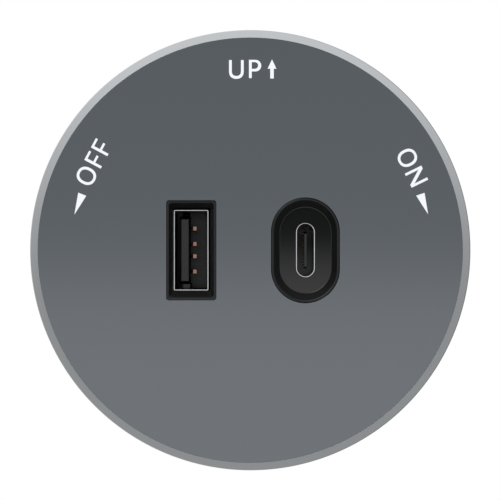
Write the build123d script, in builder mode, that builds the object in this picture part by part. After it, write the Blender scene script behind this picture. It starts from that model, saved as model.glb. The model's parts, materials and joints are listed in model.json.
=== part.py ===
from build123d import *
import math
import os

# Power track USB socket: a round charger that is put into a wall power track and locked by a quarter turn.
# Millimetres. Seen from the front, X is right and Z is up, and Y runs back into the wall.
# The origin is on the turning axis, in the seat plane that lies on the track.
# It is drawn in the OFF position, as it is put in, with the UP mark upright.

# Head, as photographed
HEAD_RADIUS = 35.5
FACE_RADIUS = 34.2
RIM_DEPTH = 1.0
RIM_EDGE_ROUND = 0.2
FACE_Y = -32.0
FACE_THICKNESS = 1.2
RING_END_Y = -13.0
FIT_GAP = 0.05

# USB-A port, as photographed
USB_A_X = -9.47
USB_A_BEZEL = (8.05, 16.1)
USB_A_BEZEL_CORNER = 0.43
USB_A_BORDER = 0.43
USB_A_SHELL = (5.75, 13.1)
USB_A_SHELL_CORNER = 0.6
USB_A_TONGUE_X = -10.54
USB_A_TONGUE = (1.82, 11.0)
USB_A_TONGUE_BEVEL = 0.43
USB_A_PIN_Z = (3.5, 1.0, -1.0, -3.5)
USB_A_PIN_SIZE = 0.68
USB_A_DEPTH = 10.0
USB_A_RIB = (1.18, 0.75)
USB_A_RIB_X = -10.18
USB_A_RIB_SETBACK = 2.0
USB_A_HOOK = (3.0, 0.4)
PIN_THICKNESS = 0.25
PIN_BOW = 1.15
PIN_BEND = 0.1
PIN_GAP = 0.02
PIN_SLOT_SLACK = 0.06
PIN_ROOT_FORWARD = 3.0
PIN_PEAK_FORWARD = 6.2
PIN_TIP_FORWARD = 8.4

# USB-C port, as photographed
USB_C_X = 8.93
USB_C_BEZEL = (11.1, 17.1)
USB_C_BORDER = 0.45
USB_C_FLOOR = (8.44, 14.04)
USB_C_SHELL = (3.16, 8.94)
USB_C_TONGUE = (0.7, 6.69)
USB_C_DEPTH = 6.2
USB_C_PIN_PITCH = 0.5
USB_C_PIN_WIDTH = 0.26
USB_C_PINS_PER_SIDE = 12
USB_C_TONGUE_BEVEL = 0.12
USB_C_HOOK = (2.4, 0.6)
USB_C_HOOK_SUNK = 0.1
C_PIN_PROUD = 0.03
C_PIN_SUNK = 0.1
C_PIN_SETBACK = 0.4
C_PIN_ROOT = 2.0

# Both ports
PORT_RECESS = 1.4
SHELL_WALL = 0.3
BEZEL_FLANGE = 1.15
BEZEL_FLANGE_DEPTH = 1.2
BEZEL_BODY_END_Y = -28.3
TONGUE_SETBACK = 0.9

# Housings
FRONT_WALL_RADIUS = 34.1
FRONT_INNER_RADIUS = 32.3
SHOULDER_RADIUS = 35.3
FRONT_FLOOR_THICKNESS = 1.8
PARTING_Y = -11.0
LIP_HEIGHT = 1.2
LIP_RADIUS = 33.25
REAR_INNER_RADIUS = 33.3
REAR_Y = -0.9
REAR_RADIUS = 33.2
TAPER_START_Y = -5.0
FLOOR_Y = -4.5
FLOOR_INNER_Y = -6.5
HUB_RADIUS = 19.0
HUB_INNER_Y = -7.5
CHANNEL_RADII = (28.2, 31.0)
CHANNEL_FLOOR_Y = -2.9

# Screws that join the housings, hold the board and hold the clamp ring
HOUSING_SCREW_CIRCLE = 29.8
HOUSING_BOSS_RADIUS = 3.1
HOUSING_SCREW_RADIUS = 1.2
HOUSING_HEAD_RADIUS = 2.2
HOUSING_HEAD_HEIGHT = 1.7
HOUSING_COUNTERBORE_Y = -3.4
HOUSING_SCREW_LENGTH = 12.0
BOARD_SCREW_CIRCLE = 28.0
BOARD_POST_RADIUS = 2.3
BOARD_SCREW_RADIUS = 1.0
BOARD_HEAD_RADIUS = 1.9
BOARD_HEAD_HEIGHT = 1.4
BOARD_SCREW_LENGTH = 6.0
CLAMP_SCREW_CIRCLE = 24.4
CLAMP_SCREW_RADIUS = 0.95
CLAMP_HEAD_RADIUS = 1.75
CLAMP_HEAD_HEIGHT = 0.8
CLAMP_SCREW_LENGTH = 4.1
CLAMP_PILOT_DEPTH = 3.6
SCREW_SLACK = 0.15
PILOT_EXTRA = 1.0
BOSS_RELIEF = 0.1
HEAD_RECESS = 0.9
CROSS_LENGTH_TO_HEAD = 1.3
CROSS_WIDTH = 0.4
CROSS_DEPTH = 0.5
QUARTERS = (45, 135, 225, 315)
BOARD_SCREW_ANGLES = (0, 180, 270)

# Quarter-turn base that stays in the track
SEAT_RADIUS = 19.0
FLANGE_RADIUS = 22.0
FLANGE_FRONT_Y = -4.0
FLANGE_REAR_Y = -2.6
KEY = (30.0, 12.6)
KEY_CORNER = 2.0
KEY_DEPTH = 4.5
KEY_BEVEL = 0.4
NECK_RADIUS = 4.6
BASE_BORE_RADIUS = 4.66
GASKET_RADII = (17.3, 18.5)
GASKET_DEPTH = 1.0
STOP_CIRCLE = 15.0
STOP_PIN_RADIUS = 1.3
STOP_PIN_END_Y = -6.1
STOP_SLOT_END_Y = -6.35
STOP_CLEARANCE = 0.3
STOP_ANGLE = 225
QUARTER_TURN = 90
NOTCH_CIRCLE = 22.8
NOTCH_RADIUS = 1.6
CLAMP_RADII = (19.3, 26.6)
CLAMP_FRONT_Y = -2.5
WASHER_RADII = (17.5, 21.8)
WASHER_THICKNESS = 0.4
DETENT_POCKET_CIRCLE = 24.15
DETENT_POCKET_WIDTH = 3.7
DETENT_POCKET_ANGLE = 44
DETENT_LEAF = 0.3
DETENT_LEAF_Y = (-4.0, -2.7)
DETENT_NOSE = (0, 21.6)
DETENT_SIDE = ((1.9, 22.8), (8.1, 23.4), (8.8, 24.1))
DETENT_BEND = 0.4

# Stem that goes through the base into the track
HEAD_LENGTH = 34.0
HEAD_WIDTH = 11.5
HEAD_FRONT_Y = 5.0
HEAD_REAR_Y = 16.4
STEM_END_Y = 18.0
SPIGOT_RADIUS = 3.9
SPIGOT_FLATS = 6.6
SPIGOT_END_Y = -11.0
WIRE_BORE_RADIUS = 2.6
STRIP_SEAT_Y = 14.6
STRIP_SLOT_HALF_WIDTH = 2.2
CAP_EDGE_BEVEL = 0.8
CAP_SCREWS = ((4.4, 3.9), (-4.4, -3.9))
CAP_SCREW_RADIUS = 0.8
CAP_HEAD_RADIUS = 1.5
CAP_HEAD_HEIGHT = 0.8
CAP_SCREW_LENGTH = 6.5
CAP_HEAD_SLACK = 0.1
CAP_PLUG_GAP = 0.2
NUT_FLATS = 12.0
NUT_THICKNESS = 2.8

# Contacts in the stem
CONTACT_Y = 10.7
CHAMBER_X = (6.5, 15.0)
CHAMBER_WIDTH = 8.3
CHAMBER_DEPTH = 7.3
CONTACT_FLANGE = (1.5, 7.0, 8.0)
CONTACT_NOSE = (6.0, 4.6)
CONTACT_TIP_X = 18.2
CONTACT_TIP_ROUND = 0.9
CONTACT_PILOT_RADIUS = 1.25
CONTACT_PILOT_LENGTH = 1.5
SLIDE_GAP = 0.15
STRIP_THICKNESS = 0.6
STRIP_HALF_WIDTH = 2.0
STRIP_INNER_X = 0.95
STRIP_END_GAP = 0.2
COIL_RADIUS = 1.9
COIL_WIRE_RADIUS = 0.225
COIL_TURNS = 4.5
COIL_END_GAP = 0.02
EARTH_PLATE = (30.4, 9.8)
EARTH_THICKNESS = 0.4
EARTH_BUMP_X = 11.0
EARTH_BUMP_HEIGHT = 0.3
EARTH_BUMP_HALF_LENGTH = 2.5
EARTH_BUMP_HALF_WIDTH = 2.0
EARTH_TAB_INNER = 1.0
EARTH_TAB_HALF_WIDTH = 1.1

# Internal leads, from the stem to the board
LEAD_RADIUS = 0.7
LEAD_BEND = 1.8
LEAD_TURN_Y = -12.95
LIVE_BORE_SPOT = (1.75, 0.5)
LIVE_PAD = (8.5, 5.5)
EARTH_BORE_Z = -1.75
EARTH_PAD_Z = -9.0

# Charger electronics
BOARD_RADIUS = 32.0
BOARD_FRONT_Y = -16.6
BOARD_REAR_Y = -15.0
BOARD_NOTCH_RADIUS = 3.4
BOARD_SLOT = (26.0, 1.6)
BOARD_SLOT_Z = 11.0
TRANSFORMER_Z = 19.5
CORE = (17.0, 11.4, 5.0)
CORE_LEG = 5.0
CORE_WINDOW = (3.6, 6.8)
BOBBIN_WALL = 0.6
BOBBIN_FLANGE = (12.2, 14.0, 0.8)
BOBBIN_RAIL = (12.2, 2.0)
BOBBIN_RAIL_Z = 6.0
WINDING = (11.8, 13.2)
WINDING_CORNER = 2.4
BULK_CAP_SPOTS = ((-9.0, -20.5), (9.0, -20.5))
BULK_CAP = (4.0, 11.6)
BULK_CAP_ROUND = 0.5
OUTPUT_CAP_SPOT = (19.0, 11.5)
OUTPUT_CAP = (3.15, 9.0)
OUTPUT_CAP_ROUND = 0.4
CHOKE_SPOT = (-21.0, 4.5)
CHOKE_CORE = (2.6, 4.8, 4.0)
CHOKE_WRAP = 0.8
CHOKE_ARC = 90
X_CAP_SPOT = (-20.5, -8.5)
X_CAP = (5.0, 11.0, 10.0)
Y_CAP_SPOT = (20.5, 0.0)
Y_CAP = (2.5, 7.0, 7.5)
Y_CAP_ROUND = 1.0
FUSE_SPOT = (21.0, -9.0)
FUSE = (3.6, 8.0)
BRIDGE_SPOT = (-16.0, -14.0)
BRIDGE = (4.7, 4.0, 1.6)
CHIP_SPOTS = ((14.0, -13.0), (15.0, 13.0))
CHIP = (5.0, 4.0, 1.5)
SMALL_CHIP = (1.6, 0.8, 0.6)
SMALL_CHIP_START = (-3.0, -17.0)
SMALL_CHIP_PITCH = (2.6, 2.2)
SMALL_CHIP_COUNT = (4, 3)


def depth_plane(y):
    """Give the plane at depth y that faces the front, with X to the right and Z up."""
    return Plane.XZ.offset(-y)


def ring_spots(radius, angles):
    """Give the X and Z of points on a circle round the turning axis."""
    return [(radius * math.cos(math.radians(a)), radius * math.sin(math.radians(a))) for a in angles]


def add_round(spots, radius, front, rear, mode=Mode.ADD):
    """Add or cut a round column at each spot, between two depths."""
    with BuildSketch(depth_plane(rear)) as profile:
        with Locations(*spots):
            Circle(radius)
    extrude(profile.sketch, amount=rear - front, mode=mode)


def add_block(centre, size, front, rear, mode=Mode.ADD):
    """Add or cut a block with its middle at an X and Z, between two depths."""
    with BuildSketch(depth_plane(rear)) as profile:
        with Locations(centre):
            Rectangle(*size)
    extrude(profile.sketch, amount=rear - front, mode=mode)


def cross_head_screws(spots, seat_y, shank_radius, shank_length, head_radius, head_height):
    """Make screws with their heads to the rear, seated at a depth."""
    with BuildPart() as screws:
        add_round(spots, shank_radius, seat_y - shank_length, seat_y)
        add_round(spots, head_radius, seat_y, seat_y + head_height)
        top = seat_y + head_height
        cross = head_radius * CROSS_LENGTH_TO_HEAD
        for spot in spots:
            add_block(spot, (cross, CROSS_WIDTH), top - CROSS_DEPTH, top, Mode.SUBTRACT)
            add_block(spot, (CROSS_WIDTH, cross), top - CROSS_DEPTH, top, Mode.SUBTRACT)
    return screws


def stadium(size, grow=0.0):
    """Draw an upright slot of the given width and height, grown all round."""
    SlotOverall(size[1] + 2 * grow, size[0] + 2 * grow, rotation=90)


def finish(piece, label):
    """Label a finished piece and write it under its name."""
    piece.part.label = label
    export_step(piece.part, f"parts/{label}.step")


os.makedirs("parts", exist_ok=True)

PLATE_REAR_Y = FACE_Y + FACE_THICKNESS
FRONT_FLOOR_INNER_Y = PLATE_REAR_Y + FRONT_FLOOR_THICKNESS
FLANGE_BACK_Y = PLATE_REAR_Y + BEZEL_FLANGE_DEPTH
SHELL_FRONT_Y = FACE_Y + PORT_RECESS
HOUSING_SPOTS = ring_spots(HOUSING_SCREW_CIRCLE, QUARTERS)
CLAMP_SPOTS = ring_spots(CLAMP_SCREW_CIRCLE, QUARTERS)
BOARD_SPOTS = ring_spots(BOARD_SCREW_CIRCLE, BOARD_SCREW_ANGLES)
STOP_ARC = CenterArc((0, 0), STOP_CIRCLE, STOP_ANGLE, QUARTER_TURN)
DETENT_ARC = CenterArc((0, 0), DETENT_POCKET_CIRCLE, 90 - DETENT_POCKET_ANGLE / 2, DETENT_POCKET_ANGLE)

# Face plate, with the two cut-outs that the bezels fill
with BuildPart() as face_plate:
    with BuildSketch(depth_plane(PLATE_REAR_Y)):
        Circle(FACE_RADIUS - FIT_GAP / 2)
        with Locations((USB_A_X, 0)):
            RectangleRounded(
                USB_A_BEZEL[0] + 2 * FIT_GAP,
                USB_A_BEZEL[1] + 2 * FIT_GAP,
                USB_A_BEZEL_CORNER + FIT_GAP,
                mode=Mode.SUBTRACT,
            )
        with Locations((USB_C_X, 0)):
            SlotOverall(
                USB_C_BEZEL[1] + 2 * FIT_GAP,
                USB_C_BEZEL[0] + 2 * FIT_GAP,
                rotation=90,
                mode=Mode.SUBTRACT,
            )
    extrude(amount=FACE_THICKNESS)
finish(face_plate, "face_plate")

# Trim ring: a sleeve with the wide bevel that frames the face
with BuildPart() as trim_ring:
    with BuildSketch(Plane.XY) as ring_section:
        with BuildLine():
            Polyline(
                (FACE_RADIUS, FACE_Y),
                (HEAD_RADIUS, FACE_Y + RIM_DEPTH),
                (HEAD_RADIUS, RING_END_Y),
                (FACE_RADIUS, RING_END_Y),
                close=True,
            )
        make_face()
        bevel_corner = ring_section.vertices().group_by(Axis.X)[-1].sort_by(Axis.Y)[0]
        fillet(bevel_corner, RIM_EDGE_ROUND)
    revolve(axis=Axis.Y)
finish(trim_ring, "trim_ring")

# Front housing: a cup behind the face, with pockets for the bezels, bosses and board posts
with BuildPart() as front_housing:
    with BuildSketch(Plane.XY):
        with BuildLine():
            Polyline(
                (0, PLATE_REAR_Y),
                (FRONT_WALL_RADIUS, PLATE_REAR_Y),
                (FRONT_WALL_RADIUS, RING_END_Y),
                (SHOULDER_RADIUS, RING_END_Y),
                (SHOULDER_RADIUS, PARTING_Y),
                (LIP_RADIUS, PARTING_Y),
                (LIP_RADIUS, PARTING_Y + LIP_HEIGHT),
                (FRONT_INNER_RADIUS, PARTING_Y + LIP_HEIGHT),
                (FRONT_INNER_RADIUS, FRONT_FLOOR_INNER_Y),
                (0, FRONT_FLOOR_INNER_Y),
                close=True,
            )
        make_face()
    revolve(axis=Axis.Y)
    add_round(HOUSING_SPOTS, HOUSING_BOSS_RADIUS, FRONT_FLOOR_INNER_Y, PARTING_Y)
    add_round(
        HOUSING_SPOTS,
        HOUSING_BOSS_RADIUS + BOSS_RELIEF,
        PARTING_Y,
        PARTING_Y + LIP_HEIGHT,
        Mode.SUBTRACT,
    )
    add_round(BOARD_SPOTS, BOARD_POST_RADIUS, FRONT_FLOOR_INNER_Y, BOARD_FRONT_Y)
    add_round(
        HOUSING_SPOTS,
        HOUSING_SCREW_RADIUS,
        HOUSING_COUNTERBORE_Y - HOUSING_SCREW_LENGTH - PILOT_EXTRA,
        PARTING_Y,
        Mode.SUBTRACT,
    )
    add_round(
        BOARD_SPOTS,
        BOARD_SCREW_RADIUS,
        BOARD_REAR_Y - BOARD_SCREW_LENGTH - PILOT_EXTRA,
        BOARD_FRONT_Y,
        Mode.SUBTRACT,
    )
    with BuildSketch(depth_plane(FLANGE_BACK_Y)):
        with Locations((USB_A_X, 0)):
            Rectangle(
                USB_A_BEZEL[0] + 2 * (BEZEL_FLANGE + FIT_GAP),
                USB_A_BEZEL[1] + 2 * (BEZEL_FLANGE + FIT_GAP),
            )
        with Locations((USB_C_X, 0)):
            stadium(USB_C_BEZEL, BEZEL_FLANGE + FIT_GAP)
    extrude(amount=BEZEL_FLANGE_DEPTH, mode=Mode.SUBTRACT)
    with BuildSketch(depth_plane(FRONT_FLOOR_INNER_Y)):
        with Locations((USB_A_X, 0)):
            Rectangle(USB_A_BEZEL[0] + 2 * FIT_GAP, USB_A_BEZEL[1] + 2 * FIT_GAP)
        with Locations((USB_C_X, 0)):
            stadium(USB_C_BEZEL, FIT_GAP)
    extrude(amount=FRONT_FLOOR_THICKNESS, mode=Mode.SUBTRACT)
finish(front_housing, "front_housing")

# Rear housing: carries the stem at its hub and turns round the base in its rear recess
with BuildPart() as rear_housing:
    with BuildSketch(Plane.XY):
        with BuildLine():
            Polyline(
                (0, FLOOR_Y),
                (FLANGE_RADIUS + STOP_CLEARANCE, FLOOR_Y),
                (FLANGE_RADIUS + STOP_CLEARANCE, CLAMP_FRONT_Y),
                (CLAMP_RADII[1] + FIT_GAP, CLAMP_FRONT_Y),
                (CLAMP_RADII[1] + FIT_GAP, REAR_Y),
                (REAR_RADIUS, REAR_Y),
                (SHOULDER_RADIUS, TAPER_START_Y),
                (SHOULDER_RADIUS, PARTING_Y),
                (REAR_INNER_RADIUS, PARTING_Y),
                (REAR_INNER_RADIUS, FLOOR_INNER_Y),
                (CHANNEL_RADII[1], CHANNEL_FLOOR_Y),
                (CHANNEL_RADII[0], CHANNEL_FLOOR_Y),
                (CHANNEL_RADII[0], FLOOR_INNER_Y),
                (HUB_RADIUS, FLOOR_INNER_Y),
                (HUB_RADIUS, HUB_INNER_Y),
                (0, HUB_INNER_Y),
                close=True,
            )
        make_face()
    revolve(axis=Axis.Y)
    add_round(HOUSING_SPOTS, HOUSING_BOSS_RADIUS, PARTING_Y, REAR_Y)
    add_round(HOUSING_SPOTS, HOUSING_SCREW_RADIUS + SCREW_SLACK, PARTING_Y, REAR_Y, Mode.SUBTRACT)
    add_round(HOUSING_SPOTS, HOUSING_HEAD_RADIUS + SCREW_SLACK, HOUSING_COUNTERBORE_Y, REAR_Y, Mode.SUBTRACT)
    add_round(
        CLAMP_SPOTS,
        CLAMP_SCREW_RADIUS,
        CLAMP_FRONT_Y - CLAMP_PILOT_DEPTH,
        CLAMP_FRONT_Y,
        Mode.SUBTRACT,
    )
    with BuildSketch(depth_plane(FLOOR_Y)):
        Circle(SPIGOT_RADIUS + FIT_GAP)
        Rectangle(4 * SPIGOT_RADIUS, SPIGOT_FLATS + 2 * FIT_GAP, mode=Mode.INTERSECT)
    extrude(amount=FLOOR_Y - HUB_INNER_Y, mode=Mode.SUBTRACT)
    with BuildSketch(depth_plane(FLOOR_Y)):
        SlotArc(STOP_ARC, 2 * (STOP_PIN_RADIUS + STOP_CLEARANCE))
    extrude(amount=FLOOR_Y - STOP_SLOT_END_Y, mode=Mode.SUBTRACT)
    with BuildSketch(depth_plane(CLAMP_FRONT_Y)):
        SlotArc(DETENT_ARC, DETENT_POCKET_WIDTH)
    extrude(amount=CLAMP_FRONT_Y - FLOOR_Y, mode=Mode.SUBTRACT)
finish(rear_housing, "rear_housing")

housing_screws = cross_head_screws(
    HOUSING_SPOTS,
    HOUSING_COUNTERBORE_Y,
    HOUSING_SCREW_RADIUS,
    HOUSING_SCREW_LENGTH,
    HOUSING_HEAD_RADIUS,
    HOUSING_HEAD_HEIGHT,
)
finish(housing_screws, "housing_screws")

# USB-A bezel: a snap-in frame whose mouth slopes down to the metal shell
with BuildPart() as usb_a_bezel:
    with BuildSketch(depth_plane(PLATE_REAR_Y)):
        with Locations((USB_A_X, 0)):
            RectangleRounded(*USB_A_BEZEL, USB_A_BEZEL_CORNER)
    extrude(amount=FACE_THICKNESS)
    add_block(
        (USB_A_X, 0),
        (USB_A_BEZEL[0] + 2 * BEZEL_FLANGE, USB_A_BEZEL[1] + 2 * BEZEL_FLANGE),
        PLATE_REAR_Y,
        FLANGE_BACK_Y,
    )
    add_block((USB_A_X, 0), USB_A_BEZEL, FLANGE_BACK_Y, BEZEL_BODY_END_Y)
    for side in (1, -1):
        add_block(
            (USB_A_X, side * (USB_A_BEZEL[1] + USB_A_HOOK[1]) / 2),
            USB_A_HOOK,
            FRONT_FLOOR_INNER_Y,
            BEZEL_BODY_END_Y,
        )
    with BuildSketch(depth_plane(FACE_Y)):
        with Locations((USB_A_X, 0)):
            Rectangle(USB_A_BEZEL[0] - 2 * USB_A_BORDER, USB_A_BEZEL[1] - 2 * USB_A_BORDER)
    with BuildSketch(depth_plane(SHELL_FRONT_Y)):
        with Locations((USB_A_X, 0)):
            Rectangle(USB_A_SHELL[0] + 2 * FIT_GAP, USB_A_SHELL[1] + 2 * FIT_GAP)
    loft(mode=Mode.SUBTRACT)
    add_block(
        (USB_A_X, 0),
        (USB_A_SHELL[0] + 2 * FIT_GAP, USB_A_SHELL[1] + 2 * FIT_GAP),
        SHELL_FRONT_Y,
        BEZEL_BODY_END_Y,
        Mode.SUBTRACT,
    )
finish(usb_a_bezel, "usb_a_bezel")

# USB-A shell, insulator with its tongue at the left, and four sprung contacts
with BuildPart() as usb_a_shell:
    with BuildSketch(depth_plane(BOARD_FRONT_Y)):
        with Locations((USB_A_X, 0)):
            RectangleRounded(*USB_A_SHELL, USB_A_SHELL_CORNER)
            RectangleRounded(
                USB_A_SHELL[0] - 2 * SHELL_WALL,
                USB_A_SHELL[1] - 2 * SHELL_WALL,
                USB_A_SHELL_CORNER - SHELL_WALL,
                mode=Mode.SUBTRACT,
            )
    extrude(amount=BOARD_FRONT_Y - SHELL_FRONT_Y)
finish(usb_a_shell, "usb_a_shell")

USB_A_BACK_Y = SHELL_FRONT_Y + USB_A_DEPTH
USB_A_TIP_Y = SHELL_FRONT_Y + TONGUE_SETBACK
PIN_FACE_X = USB_A_TONGUE_X + USB_A_TONGUE[0] / 2
PIN_INNER_X = PIN_FACE_X + PIN_GAP
PIN_OUTER_X = PIN_INNER_X + PIN_THICKNESS
PIN_BOW_X = PIN_FACE_X + PIN_BOW
PIN_SLOT = (PIN_THICKNESS + PIN_SLOT_SLACK, USB_A_PIN_SIZE + PIN_SLOT_SLACK)
with BuildPart() as usb_a_insulator:
    with BuildSketch(depth_plane(BOARD_FRONT_Y)):
        with Locations((USB_A_X, 0)):
            RectangleRounded(
                USB_A_SHELL[0] - 2 * SHELL_WALL,
                USB_A_SHELL[1] - 2 * SHELL_WALL,
                USB_A_SHELL_CORNER - SHELL_WALL,
            )
    extrude(amount=BOARD_FRONT_Y - USB_A_BACK_Y)
    add_block((USB_A_TONGUE_X, 0), USB_A_TONGUE, USB_A_TIP_Y, USB_A_BACK_Y)
    tip_edges = usb_a_insulator.faces().sort_by(Axis.Y)[0].edges()
    chamfer(tip_edges.sort_by(Axis.X)[:-1], USB_A_TONGUE_BEVEL)
    for side in (1, -1):
        add_block(
            (USB_A_RIB_X, side * (USB_A_TONGUE[1] + USB_A_RIB[1]) / 2),
            USB_A_RIB,
            SHELL_FRONT_Y + USB_A_RIB_SETBACK,
            USB_A_BACK_Y,
        )
    for pin_z in USB_A_PIN_Z:
        add_block(
            ((PIN_INNER_X + PIN_OUTER_X) / 2, pin_z),
            PIN_SLOT,
            USB_A_BACK_Y,
            BOARD_FRONT_Y,
            Mode.SUBTRACT,
        )
finish(usb_a_insulator, "usb_a_insulator")

with BuildPart() as usb_a_contacts:
    for pin_z in USB_A_PIN_Z:
        with BuildSketch(Plane.XY.offset(pin_z - USB_A_PIN_SIZE / 2)):
            with BuildLine():
                FilletPolyline(
                    (PIN_INNER_X, BOARD_FRONT_Y),
                    (PIN_INNER_X, USB_A_BACK_Y - PIN_ROOT_FORWARD),
                    (PIN_BOW_X - PIN_THICKNESS, USB_A_BACK_Y - PIN_PEAK_FORWARD),
                    (PIN_INNER_X, USB_A_BACK_Y - PIN_TIP_FORWARD),
                    (PIN_OUTER_X, USB_A_BACK_Y - PIN_TIP_FORWARD),
                    (PIN_BOW_X, USB_A_BACK_Y - PIN_PEAK_FORWARD),
                    (PIN_OUTER_X, USB_A_BACK_Y - PIN_ROOT_FORWARD),
                    (PIN_OUTER_X, BOARD_FRONT_Y),
                    radius=PIN_BEND,
                    close=True,
                )
            make_face()
        extrude(amount=USB_A_PIN_SIZE)
finish(usb_a_contacts, "usb_a_contacts")

# USB-C bezel: a rounded frame that slopes down to a flat floor round the metal shell
with BuildPart() as usb_c_bezel:
    with BuildSketch(depth_plane(PLATE_REAR_Y)):
        with Locations((USB_C_X, 0)):
            stadium(USB_C_BEZEL)
    extrude(amount=FACE_THICKNESS)
    with BuildSketch(depth_plane(FLANGE_BACK_Y)):
        with Locations((USB_C_X, 0)):
            stadium(USB_C_BEZEL, BEZEL_FLANGE)
    extrude(amount=BEZEL_FLANGE_DEPTH)
    with BuildSketch(depth_plane(BEZEL_BODY_END_Y)):
        with Locations((USB_C_X, 0)):
            stadium(USB_C_BEZEL)
    extrude(amount=BEZEL_BODY_END_Y - FLANGE_BACK_Y)
    for side in (1, -1):
        add_block(
            (USB_C_X, side * (USB_C_BEZEL[1] / 2 - USB_C_HOOK_SUNK)),
            USB_C_HOOK,
            FRONT_FLOOR_INNER_Y,
            BEZEL_BODY_END_Y,
        )
    with BuildSketch(depth_plane(FACE_Y)):
        with Locations((USB_C_X, 0)):
            stadium(USB_C_BEZEL, -USB_C_BORDER)
    with BuildSketch(depth_plane(SHELL_FRONT_Y)):
        with Locations((USB_C_X, 0)):
            stadium(USB_C_FLOOR)
    loft(mode=Mode.SUBTRACT)
    with BuildSketch(depth_plane(BEZEL_BODY_END_Y)):
        with Locations((USB_C_X, 0)):
            stadium(USB_C_SHELL, FIT_GAP)
    extrude(amount=BEZEL_BODY_END_Y - SHELL_FRONT_Y, mode=Mode.SUBTRACT)
finish(usb_c_bezel, "usb_c_bezel")

# USB-C shell, insulator with its middle tongue, and twelve contacts on each face of the tongue
with BuildPart() as usb_c_shell:
    with BuildSketch(depth_plane(BOARD_FRONT_Y)):
        with Locations((USB_C_X, 0)):
            stadium(USB_C_SHELL)
            SlotOverall(
                USB_C_SHELL[1] - 2 * SHELL_WALL,
                USB_C_SHELL[0] - 2 * SHELL_WALL,
                rotation=90,
                mode=Mode.SUBTRACT,
            )
    extrude(amount=BOARD_FRONT_Y - SHELL_FRONT_Y)
finish(usb_c_shell, "usb_c_shell")

USB_C_BACK_Y = SHELL_FRONT_Y + USB_C_DEPTH
USB_C_TIP_Y = SHELL_FRONT_Y + TONGUE_SETBACK
C_PIN_X = [side * (USB_C_TONGUE[0] / 2 + (C_PIN_PROUD - C_PIN_SUNK) / 2) for side in (1, -1)]
C_PIN_SPOTS = [
    (USB_C_X + x, (row - (USB_C_PINS_PER_SIDE - 1) / 2) * USB_C_PIN_PITCH)
    for x in C_PIN_X
    for row in range(USB_C_PINS_PER_SIDE)
]
with BuildPart() as usb_c_contacts:
    with BuildSketch(depth_plane(USB_C_BACK_Y + C_PIN_ROOT)):
        with Locations(*C_PIN_SPOTS):
            Rectangle(C_PIN_PROUD + C_PIN_SUNK, USB_C_PIN_WIDTH)
    extrude(amount=USB_C_BACK_Y + C_PIN_ROOT - USB_C_TIP_Y - C_PIN_SETBACK)
finish(usb_c_contacts, "usb_c_contacts")

with BuildPart() as usb_c_insulator:
    with BuildSketch(depth_plane(BOARD_FRONT_Y)):
        with Locations((USB_C_X, 0)):
            stadium(USB_C_SHELL, -SHELL_WALL)
    extrude(amount=BOARD_FRONT_Y - USB_C_BACK_Y)
    add_block((USB_C_X, 0), USB_C_TONGUE, USB_C_TIP_Y, USB_C_BACK_Y)
    tip_edges = usb_c_insulator.faces().sort_by(Axis.Y)[0].edges()
    chamfer(tip_edges, USB_C_TONGUE_BEVEL)
    add(usb_c_contacts.part, mode=Mode.SUBTRACT)
finish(usb_c_insulator, "usb_c_insulator")

# Base disc: stays still in the track while the head turns round it
with BuildPart() as base_disc:
    add_round([(0, 0)], FLANGE_RADIUS, FLANGE_FRONT_Y, FLANGE_REAR_Y)
    add_round([(0, 0)], SEAT_RADIUS, FLANGE_REAR_Y, 0)
    with BuildSketch(depth_plane(KEY_DEPTH)):
        RectangleRounded(*KEY, KEY_CORNER)
    extrude(amount=KEY_DEPTH)
    chamfer(base_disc.faces().sort_by(Axis.Y)[-1].edges(), KEY_BEVEL)
    add_round(ring_spots(STOP_CIRCLE, [STOP_ANGLE]), STOP_PIN_RADIUS, STOP_PIN_END_Y, FLANGE_FRONT_Y)
    add_round([(0, 0)], BASE_BORE_RADIUS, FLANGE_FRONT_Y, KEY_DEPTH, Mode.SUBTRACT)
    add_round(
        ring_spots(NOTCH_CIRCLE, [0, QUARTER_TURN]),
        NOTCH_RADIUS,
        FLANGE_FRONT_Y,
        FLANGE_REAR_Y,
        Mode.SUBTRACT,
    )
    with BuildSketch(depth_plane(0)):
        Circle(GASKET_RADII[1])
        Circle(GASKET_RADII[0], mode=Mode.SUBTRACT)
    extrude(amount=GASKET_DEPTH, mode=Mode.SUBTRACT)
finish(base_disc, "base_disc")

with BuildPart() as seat_gasket:
    with BuildSketch(depth_plane(0)):
        Circle(GASKET_RADII[1])
        Circle(GASKET_RADII[0], mode=Mode.SUBTRACT)
    extrude(amount=GASKET_DEPTH)
finish(seat_gasket, "seat_gasket")

with BuildPart() as slip_washer:
    with BuildSketch(depth_plane(FLOOR_Y + WASHER_THICKNESS)):
        Circle(WASHER_RADII[1])
        Circle(WASHER_RADII[0], mode=Mode.SUBTRACT)
    extrude(amount=WASHER_THICKNESS)
finish(slip_washer, "slip_washer")

# Clamp ring: traps the base's flange in the rear housing
with BuildPart() as clamp_ring:
    with BuildSketch(depth_plane(REAR_Y)):
        Circle(CLAMP_RADII[1])
        Circle(CLAMP_RADII[0], mode=Mode.SUBTRACT)
    extrude(amount=REAR_Y - CLAMP_FRONT_Y)
    add_round(CLAMP_SPOTS, CLAMP_SCREW_RADIUS + SCREW_SLACK, CLAMP_FRONT_Y, REAR_Y, Mode.SUBTRACT)
    add_round(CLAMP_SPOTS, CLAMP_HEAD_RADIUS + SCREW_SLACK, REAR_Y - HEAD_RECESS, REAR_Y, Mode.SUBTRACT)
finish(clamp_ring, "clamp_ring")

clamp_screws = cross_head_screws(
    CLAMP_SPOTS,
    REAR_Y - HEAD_RECESS,
    CLAMP_SCREW_RADIUS,
    CLAMP_SCREW_LENGTH,
    CLAMP_HEAD_RADIUS,
    CLAMP_HEAD_HEIGHT,
)
finish(clamp_screws, "clamp_screws")

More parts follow.
